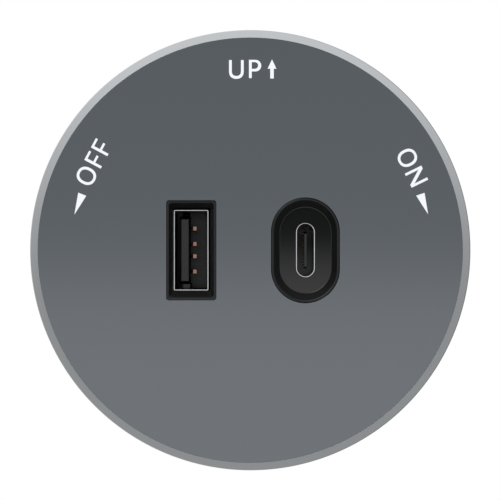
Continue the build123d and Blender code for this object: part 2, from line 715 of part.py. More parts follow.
# Detent spring: a leaf whose nose drops into a notch of the base at each end of the turn
with BuildPart() as detent_spring:
    with BuildSketch(depth_plane(DETENT_LEAF_Y[1])):
        with BuildLine():
            FilletPolyline(
                *[(-x, z) for x, z in reversed(DETENT_SIDE)],
                DETENT_NOSE,
                *DETENT_SIDE,
                radius=DETENT_BEND,
            )
        trace(line_width=DETENT_LEAF)
    extrude(amount=DETENT_LEAF_Y[1] - DETENT_LEAF_Y[0])
finish(detent_spring, "detent_spring")

# Earth contact: a plate moulded into the stem, with a bump on each wing that presses on the track
with BuildPart() as earth_contact:
    with BuildSketch(depth_plane(HEAD_FRONT_Y + EARTH_THICKNESS)):
        Rectangle(*EARTH_PLATE)
        Circle(NECK_RADIUS, mode=Mode.SUBTRACT)
        with Locations((0, -(NECK_RADIUS + EARTH_TAB_INNER) / 2)):
            Rectangle(2 * EARTH_TAB_HALF_WIDTH, NECK_RADIUS - EARTH_TAB_INNER)
    extrude(amount=EARTH_THICKNESS)
    for side in (1, -1):
        with BuildSketch(Plane.XY.offset(-EARTH_BUMP_HALF_WIDTH)):
            with BuildLine():
                bump_start = (side * EARTH_BUMP_X - EARTH_BUMP_HALF_LENGTH, HEAD_FRONT_Y)
                bump_end = (side * EARTH_BUMP_X + EARTH_BUMP_HALF_LENGTH, HEAD_FRONT_Y)
                ThreePointArc(bump_start, (side * EARTH_BUMP_X, HEAD_FRONT_Y - EARTH_BUMP_HEIGHT), bump_end)
                Line(bump_end, bump_start)
            make_face()
        extrude(amount=2 * EARTH_BUMP_HALF_WIDTH)
finish(earth_contact, "earth_contact")

# Stem: spigot for the nut, neck in the base's bore, and a long head with a chamber at each end
with BuildPart() as stem:
    with BuildSketch(depth_plane(HEAD_REAR_Y)):
        Circle(HEAD_LENGTH / 2)
        Rectangle(HEAD_LENGTH, HEAD_WIDTH, mode=Mode.INTERSECT)
    extrude(amount=HEAD_REAR_Y - HEAD_FRONT_Y)
    add_round([(0, 0)], NECK_RADIUS, FLOOR_Y, HEAD_FRONT_Y)
    with BuildSketch(depth_plane(FLOOR_Y)):
        Circle(SPIGOT_RADIUS)
        Rectangle(4 * SPIGOT_RADIUS, SPIGOT_FLATS, mode=Mode.INTERSECT)
    extrude(amount=FLOOR_Y - SPIGOT_END_Y)
    for side in (1, -1):
        add_block(
            (side * sum(CHAMBER_X) / 2, 0),
            (CHAMBER_X[1] - CHAMBER_X[0], CHAMBER_WIDTH),
            CONTACT_Y - CHAMBER_DEPTH / 2,
            HEAD_REAR_Y,
            Mode.SUBTRACT,
        )
        add_block(
            (side * HEAD_LENGTH / 2, 0),
            (HEAD_LENGTH - 2 * CHAMBER_X[1], CONTACT_NOSE[1] + 2 * SLIDE_GAP),
            CONTACT_Y - CONTACT_NOSE[0] / 2 - SLIDE_GAP,
            CONTACT_Y + CONTACT_NOSE[0] / 2 + SLIDE_GAP,
            Mode.SUBTRACT,
        )
    add_block(
        (0, 0),
        (2 * CHAMBER_X[0], 2 * STRIP_SLOT_HALF_WIDTH),
        STRIP_SEAT_Y,
        HEAD_REAR_Y,
        Mode.SUBTRACT,
    )
    add_round([(0, 0)], WIRE_BORE_RADIUS, SPIGOT_END_Y, HEAD_REAR_Y, Mode.SUBTRACT)
    add_round(
        CAP_SCREWS,
        CAP_SCREW_RADIUS,
        STEM_END_Y - CAP_SCREW_LENGTH - PILOT_EXTRA,
        HEAD_REAR_Y,
        Mode.SUBTRACT,
    )
    add(earth_contact.part, mode=Mode.SUBTRACT)
finish(stem, "stem")

with BuildPart() as stem_nut:
    with BuildSketch(depth_plane(HUB_INNER_Y)):
        RegularPolygon(NUT_FLATS / 2, 6, major_radius=False)
        Circle(SPIGOT_RADIUS + FIT_GAP, mode=Mode.SUBTRACT)
    extrude(amount=NUT_THICKNESS)
finish(stem_nut, "stem_nut")

# Stem cap: closes the chambers, with a plug over each contact and a rib over the strips
with BuildPart() as stem_cap:
    with BuildSketch(depth_plane(STEM_END_Y)):
        Circle(HEAD_LENGTH / 2)
        Rectangle(HEAD_LENGTH, HEAD_WIDTH, mode=Mode.INTERSECT)
    extrude(amount=STEM_END_Y - HEAD_REAR_Y)
    chamfer(stem_cap.faces().sort_by(Axis.Y)[-1].edges(), CAP_EDGE_BEVEL)
    plug_inner_x = CHAMBER_X[0] + STRIP_THICKNESS + CAP_PLUG_GAP
    plug_outer_x = CHAMBER_X[1] - CAP_PLUG_GAP
    for side in (1, -1):
        add_block(
            (side * (plug_inner_x + plug_outer_x) / 2, 0),
            (plug_outer_x - plug_inner_x, CHAMBER_WIDTH - 2 * SLIDE_GAP),
            CONTACT_Y + CHAMBER_DEPTH / 2 + FIT_GAP,
            HEAD_REAR_Y,
        )
    add_block(
        (0, 0),
        (2 * CHAMBER_X[0], 2 * STRIP_SLOT_HALF_WIDTH - CAP_PLUG_GAP),
        STRIP_SEAT_Y + STRIP_THICKNESS,
        HEAD_REAR_Y,
    )
    add_round(CAP_SCREWS, CAP_SCREW_RADIUS + SCREW_SLACK, HEAD_REAR_Y, STEM_END_Y, Mode.SUBTRACT)
    add_round(
        CAP_SCREWS,
        CAP_HEAD_RADIUS + CAP_HEAD_SLACK,
        STEM_END_Y - HEAD_RECESS,
        STEM_END_Y,
        Mode.SUBTRACT,
    )
finish(stem_cap, "stem_cap")

stem_cap_screws = cross_head_screws(
    CAP_SCREWS,
    STEM_END_Y - HEAD_RECESS,
    CAP_SCREW_RADIUS,
    CAP_SCREW_LENGTH,
    CAP_HEAD_RADIUS,
    CAP_HEAD_HEIGHT,
)
finish(stem_cap_screws, "stem_cap_screws")

# Live parts at the right, neutral parts at the left, each set the mirror of the other
STRIP_END_X = CHAMBER_X[0] + STRIP_THICKNESS
FLANGE_INNER_X = CHAMBER_X[1] - CONTACT_FLANGE[0]
for pole, side in (("live", 1), ("neutral", -1)):
    with BuildPart() as contact:
        add_block(
            (side * (FLANGE_INNER_X + CONTACT_FLANGE[0] / 2), 0),
            (CONTACT_FLANGE[0], CONTACT_FLANGE[2]),
            CONTACT_Y - CONTACT_FLANGE[1] / 2,
            CONTACT_Y + CONTACT_FLANGE[1] / 2,
        )
        add_block(
            (side * (CHAMBER_X[1] + CONTACT_TIP_X) / 2, 0),
            (CONTACT_TIP_X - CHAMBER_X[1], CONTACT_NOSE[1]),
            CONTACT_Y - CONTACT_NOSE[0] / 2,
            CONTACT_Y + CONTACT_NOSE[0] / 2,
        )
        tip_face = contact.faces().sort_by(Axis.X)[-1 if side > 0 else 0]
        fillet(tip_face.edges(), CONTACT_TIP_ROUND)
        with BuildSketch(Plane(origin=(side * FLANGE_INNER_X, CONTACT_Y, 0), z_dir=(-side, 0, 0))):
            Circle(CONTACT_PILOT_RADIUS)
        extrude(amount=CONTACT_PILOT_LENGTH)
    finish(contact, f"{pole}_contact")

    with BuildPart() as strip:
        add_block(
            (side * (CHAMBER_X[0] + STRIP_END_X) / 2, 0),
            (STRIP_THICKNESS, 2 * STRIP_HALF_WIDTH),
            CONTACT_Y - CHAMBER_DEPTH / 2 + STRIP_END_GAP,
            STRIP_SEAT_Y + STRIP_THICKNESS,
        )
        add_block(
            (side * (STRIP_INNER_X + STRIP_END_X) / 2, 0),
            (STRIP_END_X - STRIP_INNER_X, 2 * STRIP_HALF_WIDTH),
            STRIP_SEAT_Y,
            STRIP_SEAT_Y + STRIP_THICKNESS,
        )
    finish(strip, f"{pole}_strip")

    with BuildPart() as coil:
        coil_start = STRIP_END_X + COIL_WIRE_RADIUS + COIL_END_GAP
        coil_length = FLANGE_INNER_X - STRIP_END_X - 2 * (COIL_WIRE_RADIUS + COIL_END_GAP)
        with BuildLine():
            path = Helix(
                pitch=coil_length / COIL_TURNS,
                height=coil_length,
                radius=COIL_RADIUS,
                center=(side * coil_start, CONTACT_Y, 0),
                direction=(side, 0, 0),
            )
        with BuildSketch(Plane(origin=path @ 0, z_dir=path % 0)):
            Circle(COIL_WIRE_RADIUS)
        sweep(path=path)
    finish(coil, f"{pole}_spring")


def lead(start, pad):
    """Make a lead from a spot in the stem's bore, across to its pad on the board."""
    with BuildPart() as wire:
        with BuildLine() as route:
            FilletPolyline(
                start,
                (start[0], LEAD_TURN_Y, start[2]),
                (pad[0], LEAD_TURN_Y, pad[1]),
                (pad[0], BOARD_REAR_Y, pad[1]),
                radius=LEAD_BEND,
            )
        with BuildSketch(Plane(origin=start, z_dir=(0, -1, 0))):
            Circle(LEAD_RADIUS)
        sweep(path=route.line)
    return wire


for pole, side in (("live", 1), ("neutral", -1)):
    spot = (side * LIVE_BORE_SPOT[0], STRIP_SEAT_Y, LIVE_BORE_SPOT[1])
    finish(lead(spot, (side * LIVE_PAD[0], LIVE_PAD[1])), f"{pole}_wire")
finish(lead((0, HEAD_FRONT_Y, EARTH_BORE_Z), (0, EARTH_PAD_Z)), "earth_wire")

# Main board
with BuildPart() as main_board:
    with BuildSketch(depth_plane(BOARD_REAR_Y)):
        Circle(BOARD_RADIUS)
        with Locations(*HOUSING_SPOTS):
            Circle(BOARD_NOTCH_RADIUS, mode=Mode.SUBTRACT)
        with Locations(*BOARD_SPOTS):
            Circle(BOARD_SCREW_RADIUS + SCREW_SLACK, mode=Mode.SUBTRACT)
        with Locations((0, BOARD_SLOT_Z)):
            SlotOverall(*BOARD_SLOT, mode=Mode.SUBTRACT)
    extrude(amount=BOARD_REAR_Y - BOARD_FRONT_Y)
finish(main_board, "main_board")

board_screws = cross_head_screws(
    BOARD_SPOTS,
    BOARD_REAR_Y,
    BOARD_SCREW_RADIUS,
    BOARD_SCREW_LENGTH,
    BOARD_HEAD_RADIUS,
    BOARD_HEAD_HEIGHT,
)
finish(board_screws, "board_screws")

# Transformer: core, bobbin and winding round the core's middle leg
CORE_TOP_Y = BOARD_FRONT_Y - CORE[1]
WINDOW_Y = (BOARD_FRONT_Y - (CORE[1] + CORE_WINDOW[1]) / 2, BOARD_FRONT_Y - (CORE[1] - CORE_WINDOW[1]) / 2)
with BuildPart() as transformer_core:
    add_block((0, TRANSFORMER_Z), (CORE[0], CORE[2]), CORE_TOP_Y, BOARD_FRONT_Y)
    for side in (1, -1):
        add_block(
            (side * (CORE_LEG + CORE_WINDOW[0]) / 2, TRANSFORMER_Z),
            (CORE_WINDOW[0], CORE[2]),
            *WINDOW_Y,
            Mode.SUBTRACT,
        )
finish(transformer_core, "transformer_core")

SPOOL = (CORE_LEG + 2 * BOBBIN_WALL, CORE[2] + 2 * BOBBIN_WALL)
with BuildPart() as transformer_bobbin:
    add_block((0, TRANSFORMER_Z), SPOOL, *WINDOW_Y)
    add_block((0, TRANSFORMER_Z), BOBBIN_FLANGE[:2], WINDOW_Y[0], WINDOW_Y[0] + BOBBIN_FLANGE[2])
    add_block((0, TRANSFORMER_Z), BOBBIN_FLANGE[:2], WINDOW_Y[1] - BOBBIN_FLANGE[2], WINDOW_Y[1])
    for side in (1, -1):
        add_block((0, TRANSFORMER_Z + side * BOBBIN_RAIL_Z), BOBBIN_RAIL, WINDOW_Y[1], BOARD_FRONT_Y)
    add_block((0, TRANSFORMER_Z), (CORE_LEG, CORE[2]), *WINDOW_Y, Mode.SUBTRACT)
finish(transformer_bobbin, "transformer_bobbin")

WINDING_Y = (WINDOW_Y[0] + BOBBIN_FLANGE[2], WINDOW_Y[1] - BOBBIN_FLANGE[2])
with BuildPart() as transformer_winding:
    with BuildSketch(depth_plane(WINDING_Y[1])):
        with Locations((0, TRANSFORMER_Z)):
            RectangleRounded(*WINDING, WINDING_CORNER)
            Rectangle(*SPOOL, mode=Mode.SUBTRACT)
    extrude(amount=WINDING_Y[1] - WINDING_Y[0])
finish(transformer_winding, "transformer_winding")

# Capacitors, choke, fuse and the packages on the board
with BuildPart() as mains_capacitors:
    add_round(BULK_CAP_SPOTS, BULK_CAP[0], BOARD_FRONT_Y - BULK_CAP[1], BOARD_FRONT_Y)
    fillet(mains_capacitors.faces().group_by(Axis.Y)[0].edges(), BULK_CAP_ROUND)
finish(mains_capacitors, "mains_capacitors")

with BuildPart() as output_capacitor:
    add_round([OUTPUT_CAP_SPOT], OUTPUT_CAP[0], BOARD_FRONT_Y - OUTPUT_CAP[1], BOARD_FRONT_Y)
    fillet(output_capacitor.faces().sort_by(Axis.Y)[0].edges(), OUTPUT_CAP_ROUND)
finish(output_capacitor, "output_capacitor")

CHOKE_Y = (BOARD_FRONT_Y - CHOKE_WRAP - CHOKE_CORE[2], BOARD_FRONT_Y - CHOKE_WRAP)
with BuildPart() as filter_choke_core:
    with BuildSketch(depth_plane(CHOKE_Y[1])):
        with Locations(CHOKE_SPOT):
            Circle(CHOKE_CORE[1])
            Circle(CHOKE_CORE[0], mode=Mode.SUBTRACT)
    extrude(amount=CHOKE_CORE[2])
finish(filter_choke_core, "filter_choke_core")

CHOKE_MEAN = (CHOKE_CORE[0] + CHOKE_CORE[1]) / 2
CHOKE_BAND = CHOKE_CORE[1] - CHOKE_CORE[0] + 2 * CHOKE_WRAP
CHOKE_ARCS = [CenterArc((0, 0), CHOKE_MEAN, middle - CHOKE_ARC / 2, CHOKE_ARC) for middle in (90, 270)]
with BuildPart() as filter_choke_winding:
    with BuildSketch(depth_plane(CHOKE_Y[1] + CHOKE_WRAP)):
        with Locations(CHOKE_SPOT):
            for arc in CHOKE_ARCS:
                SlotArc(arc, CHOKE_BAND)
    extrude(amount=CHOKE_CORE[2] + 2 * CHOKE_WRAP)
    add(filter_choke_core.part, mode=Mode.SUBTRACT)
finish(filter_choke_winding, "filter_choke_winding")


def package(label, spot, size, behind=False, edge=0.0):
    """Make a block-shaped component on the front or on the rear face of the board."""
    near = BOARD_REAR_Y if behind else BOARD_FRONT_Y
    far = near + size[2] if behind else near - size[2]
    with BuildPart() as block:
        add_block(spot, size[:2], min(near, far), max(near, far))
        if edge:
            fillet(block.edges().filter_by(Axis.Y), edge)
    finish(block, label)


package("x_capacitor", X_CAP_SPOT, X_CAP)
package("y_capacitor", Y_CAP_SPOT, Y_CAP, edge=Y_CAP_ROUND)
package("bridge_rectifier", BRIDGE_SPOT, BRIDGE, behind=True)

with BuildPart() as input_fuse:
    add_round([FUSE_SPOT], FUSE[0], BOARD_FRONT_Y - FUSE[1], BOARD_FRONT_Y)
finish(input_fuse, "input_fuse")

with BuildPart() as controller_chips:
    for spot in CHIP_SPOTS:
        add_block(spot, CHIP[:2], BOARD_REAR_Y, BOARD_REAR_Y + CHIP[2])
finish(controller_chips, "controller_chips")

with BuildPart() as small_chips:
    for column in range(SMALL_CHIP_COUNT[0]):
        for row in range(SMALL_CHIP_COUNT[1]):
            spot = (
                SMALL_CHIP_START[0] + SMALL_CHIP_PITCH[0] * column,
                SMALL_CHIP_START[1] - SMALL_CHIP_PITCH[1] * row,
            )
            add_block(spot, SMALL_CHIP[:2], BOARD_REAR_Y, BOARD_REAR_Y + SMALL_CHIP[2])
finish(small_chips, "small_chips")
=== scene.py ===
"""Power track USB socket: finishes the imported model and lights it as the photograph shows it.

Sizes are in millimetres until a mesh is finished. Seen from the front, X is right, Z is up and Y runs back
into the wall, with the origin on the turning axis in the seat plane.
"""

from __future__ import annotations

import json
import logging
import math
from collections.abc import Iterable, Mapping, Sequence
from dataclasses import dataclass
from enum import Enum

import bmesh
import bpy
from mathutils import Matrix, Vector
from mathutils.geometry import tessellate_polygon

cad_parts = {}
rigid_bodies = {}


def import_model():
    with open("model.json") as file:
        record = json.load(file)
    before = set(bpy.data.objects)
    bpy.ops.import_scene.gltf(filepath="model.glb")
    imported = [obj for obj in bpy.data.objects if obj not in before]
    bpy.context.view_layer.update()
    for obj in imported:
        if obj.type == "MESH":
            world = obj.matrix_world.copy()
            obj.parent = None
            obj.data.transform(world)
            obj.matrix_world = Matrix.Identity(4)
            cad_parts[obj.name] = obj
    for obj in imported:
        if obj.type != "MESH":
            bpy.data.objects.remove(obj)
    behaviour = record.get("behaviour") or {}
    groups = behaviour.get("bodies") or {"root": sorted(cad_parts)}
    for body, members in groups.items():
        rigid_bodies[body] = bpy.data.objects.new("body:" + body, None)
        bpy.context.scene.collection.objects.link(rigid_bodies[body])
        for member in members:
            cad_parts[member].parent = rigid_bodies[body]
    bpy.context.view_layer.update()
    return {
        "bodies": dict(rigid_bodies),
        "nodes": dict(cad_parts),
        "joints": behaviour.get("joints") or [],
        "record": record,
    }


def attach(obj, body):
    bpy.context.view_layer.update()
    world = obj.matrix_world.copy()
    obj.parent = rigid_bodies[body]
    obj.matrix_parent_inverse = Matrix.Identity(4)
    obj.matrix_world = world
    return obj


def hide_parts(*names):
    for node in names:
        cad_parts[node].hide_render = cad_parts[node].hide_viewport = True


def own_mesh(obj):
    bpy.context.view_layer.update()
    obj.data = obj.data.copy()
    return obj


LOG = logging.getLogger("power_track_socket")
MM = 0.001
Point = tuple[float, float]
Triple = tuple[float, float, float]
Ring = list[Vector]
Tree = bpy.types.NodeTree
Node = bpy.types.Node
Socket = bpy.types.NodeSocket
Piece = bpy.types.Object


class Lay(Enum):
    """How a metal surface was worked, which sets the direction of its grain."""

    BLASTED = "blasted"
    TURNED = "turned"
    DRAWN = "drawn"


class BodyName(Enum):
    """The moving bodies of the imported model."""

    BASE = "track_base"
    HEAD = "adapter"


def linear(colour: str) -> tuple[float, float, float, float]:
    """Turn an sRGB hex colour into linear light.

    Args:
        colour: Six hex digits after a hash.

    Returns:
        Red, green, blue and an alpha of 1.
    """
    parts = [int(colour[i : i + 2], 16) / 255 for i in (1, 3, 5)]
    light = [p / 12.92 if p <= 0.04045 else ((p + 0.055) / 1.055) ** 2.4 for p in parts]
    return (light[0], light[1], light[2], 1.0)


def add_node(tree: Tree, kind: str, inputs: Mapping[str | int, object] | None = None, **settings: object) -> Node:
    """Add a node, set its properties, and fill or link its inputs.

    Args:
        tree: The tree that the node joins.
        kind: Blender's name for the kind of node.
        inputs: A value, an output socket or a node, which means its first output, for each input.
        settings: Properties of the node by name.

    Returns:
        The new node.
    """
    node = tree.nodes.new(kind)
    for key, value in settings.items():
        setattr(node, key, value)
    for key, value in (inputs or {}).items():
        if isinstance(value, Node):
            value = value.outputs[0]
        if isinstance(value, Socket):
            tree.links.new(value, node.inputs[key])
        else:
            node.inputs[key].default_value = value
    return node


# Finishes


@dataclass(frozen=True)
class Finish:
    """What every finish has: its name, colour and roughness, and how far its edges are eased."""

    name: str
    colour: str
    roughness: float
    edge_mm: float = 0.1

    def build(self) -> bpy.types.Material:
        """Make the material.

        Returns:
            A material with the finish's detail in its nodes.
        """
        if self.name in bpy.data.materials:
            return bpy.data.materials[self.name]
        material = bpy.data.materials.new(self.name)
        material.use_nodes = True
        tree = material.node_tree
        tree.nodes.clear()
        shader = add_node(
            tree, "ShaderNodeBsdfPrincipled", {"Base Color": linear(self.colour), "Roughness": self.roughness}
        )
        add_node(tree, "ShaderNodeOutputMaterial", {"Surface": shader})
        place = add_node(tree, "ShaderNodeTexCoord").outputs["Object"]
        self.detail(tree, shader, place)
        return material

    def detail(self, tree: Tree, shader: Node, place: Socket) -> None:
        """Give the shader its pattern; each finish has its own."""
        raise NotImplementedError

    def shade(self, tree: Tree, shader: Node, pattern: Node, tone: float, spread: float, height_mm: float) -> None:
        """Let one pattern vary the colour, the roughness and the relief together.

        Args:
            tree: The material's tree.
            shader: Its shader.
            pattern: A value from 0 to 1 over the surface.
            tone: How far the colour swings, as a share of itself.
            spread: How far the roughness swings each way.
            height_mm: Height of the relief.
        """
        light = add_node(tree, "ShaderNodeMapRange", {"Value": pattern, "To Min": 1.0 - tone, "To Max": 1.0 + tone})
        swing = {0: linear(self.colour)[:3], "Scale": light}
        colour = add_node(tree, "ShaderNodeVectorMath", swing, operation="SCALE")
        ends = {"Value": pattern, "To Min": self.roughness - spread, "To Max": self.roughness + spread}
        gloss = add_node(tree, "ShaderNodeMapRange", ends)
        edge = add_node(tree, "ShaderNodeBevel", {"Radius": self.edge_mm * MM}, samples=4)
        relief = add_node(tree, "ShaderNodeBump", {"Distance": height_mm * MM, "Height": pattern, "Normal": edge})
        tree.links.new(colour.outputs["Vector"], shader.inputs["Base Color"])
        tree.links.new(gloss.outputs[0], shader.inputs["Roughness"])
        tree.links.new(relief.outputs["Normal"], shader.inputs["Normal"])


@dataclass(frozen=True)
class Metal(Finish):
    """A metal surface with a fine grain in the direction that it was worked."""

    lay: Lay = Lay.BLASTED
    grain_mm: float = 0.3
    depth_mm: float = 0.0006
    tone: float = 0.02
    spread: float = 0.015

    def detail(self, tree: Tree, shader: Node, place: Socket) -> None:
        """Add grain: even speckle where blasted, rings where turned, lines along Y where drawn.

        Args:
            tree: The material's tree.
            shader: Its shader.
            place: The place on the piece, in metres.
        """
        shader.inputs["Metallic"].default_value = 1.0
        scale = 1.0 / (self.grain_mm * MM)
        if self.lay is Lay.TURNED:
            flat = add_node(tree, "ShaderNodeVectorMath", {0: place, 1: (1.0, 0.0, 1.0)}, operation="MULTIPLY")
            radius = add_node(tree, "ShaderNodeVectorMath", {0: flat}, operation="LENGTH")
            depth = add_node(tree, "ShaderNodeSeparateXYZ", {0: place})
            both = {0: radius.outputs["Value"], 1: depth.outputs["Y"]}
            across = add_node(tree, "ShaderNodeMath", both, operation="SUBTRACT")
            rings = {"W": across, "Scale": scale, "Detail": 2.0}
            grain = add_node(tree, "ShaderNodeTexNoise", rings, noise_dimensions="1D")
        else:
            stretch = (1.0, 0.04, 1.0) if self.lay is Lay.DRAWN else (1.0, 1.0, 1.0)
            along = add_node(tree, "ShaderNodeMapping", {"Vector": place, "Scale": stretch})
            grain = add_node(tree, "ShaderNodeTexNoise", {"Vector": along, "Scale": scale, "Detail": 2.0})
        self.shade(tree, shader, grain, self.tone, self.spread, self.depth_mm)


@dataclass(frozen=True)
class Moulded(Finish):
    """A moulded surface with the fine spark texture of its tool, and soft changes of gloss."""

    texture_mm: float = 0.35
    depth_mm: float = 0.004
    tone: float = 0.08
    spread: float = 0.05
    shine: float = 0.5
    dome_mm: float = 0.0
    dome_z: float = 0.0
    cloud_mm: float = 7.0
    cloud_share: float = 0.35

    def detail(self, tree: Tree, shader: Node, place: Socket) -> None:
        """Add the tool's texture, with a slow cloud over it, and the faint dome that a thin floor sinks to.

        Args:
            tree: The material's tree.
            shader: Its shader.
            place: The place on the piece, in metres.
        """
        shader.inputs["Specular IOR Level"].default_value = self.shine
        spark = add_node(
            tree,
            "ShaderNodeTexNoise",
            {"Vector": place, "Scale": 1.0 / (self.texture_mm * MM), "Detail": 3.0, "Roughness": 0.6},
        )
        cloud = add_node(
            tree, "ShaderNodeTexNoise", {"Vector": place, "Scale": 1.0 / (self.cloud_mm * MM), "Detail": 2.0}
        )
        both = add_node(tree, "ShaderNodeMix", {0: self.cloud_share, 2: spark, 3: cloud})
        self.shade(tree, shader, both, self.tone, self.spread, self.depth_mm)
        if self.dome_mm > 0:
            relief = shader.inputs["Normal"].links[0].from_node
            bevel = relief.inputs["Normal"].links[0].from_socket
            height = add_node(tree, "ShaderNodeSeparateXYZ", {0: place}).outputs["Z"]
            level = add_node(tree, "ShaderNodeMath", {0: height, 1: self.dome_z * MM}, operation="SUBTRACT")
            squared = add_node(tree, "ShaderNodeMath", {0: level, 1: level}, operation="MULTIPLY")
            curve = -0.5 / (self.dome_mm * MM)
            fall = add_node(tree, "ShaderNodeMath", {0: squared, 1: curve}, operation="MULTIPLY")
            dome = add_node(tree, "ShaderNodeBump", {"Distance": 1.0, "Height": fall, "Normal": bevel})
            tree.links.new(dome.outputs["Normal"], relief.inputs["Normal"])


@dataclass(frozen=True)
class Woven(Finish):
    """A surface with fine lines a set pitch apart, such as wound wire or a board's weave."""

    pitch_mm: float = 0.3
    metallic: float = 0.0
    tone: float = 0.3
    depth_mm: float = 0.02
    across: Triple = (0.0, 1.0, 0.0)
    spread: float = 0.08

    def detail(self, tree: Tree, shader: Node, place: Socket) -> None:
        """Add the lines, a little uneven.

        Args:
            tree: The material's tree.
            shader: Its shader.
            place: The place on the piece, in metres.
        """
        shader.inputs["Metallic"].default_value = self.metallic
        along = add_node(tree, "ShaderNodeVectorMath", {0: place, 1: self.across}, operation="DOT_PRODUCT")
        pitch = {0: along.outputs["Value"], 1: math.tau / (self.pitch_mm * MM)}
        turns = add_node(tree, "ShaderNodeMath", pitch, operation="MULTIPLY")
        wave = add_node(tree, "ShaderNodeMath", {0: turns}, operation="SINE")
        half = add_node(tree, "ShaderNodeMath", {0: wave, 1: 0.5, 2: 0.5}, operation="MULTIPLY_ADD")
        self.shade(tree, shader, half, self.tone, self.spread, self.depth_mm)


@dataclass(frozen=True)
class PadPrint(Finish):
    """White pad-print ink: thin, even and matte, a little mottled where it lies on the metal's grain."""

    mottle_mm: float = 0.4
    tone: float = 0.015
    spread: float = 0.04
    depth_mm: float = 0.001

    def detail(self, tree: Tree, shader: Node, place: Socket) -> None:
        """Add the mottle of the ink.

        Args:
            tree: The material's tree.
            shader: Its shader.
            place: The place on the piece, in metres.
        """
        shader.inputs["Specular IOR Level"].default_value = 0.25
        mottle = add_node(
            tree, "ShaderNodeTexNoise", {"Vector": place, "Scale": 1.0 / (self.mottle_mm * MM), "Detail": 2.0}
        )
        self.shade(tree, shader, mottle, self.tone, self.spread, self.depth_mm)


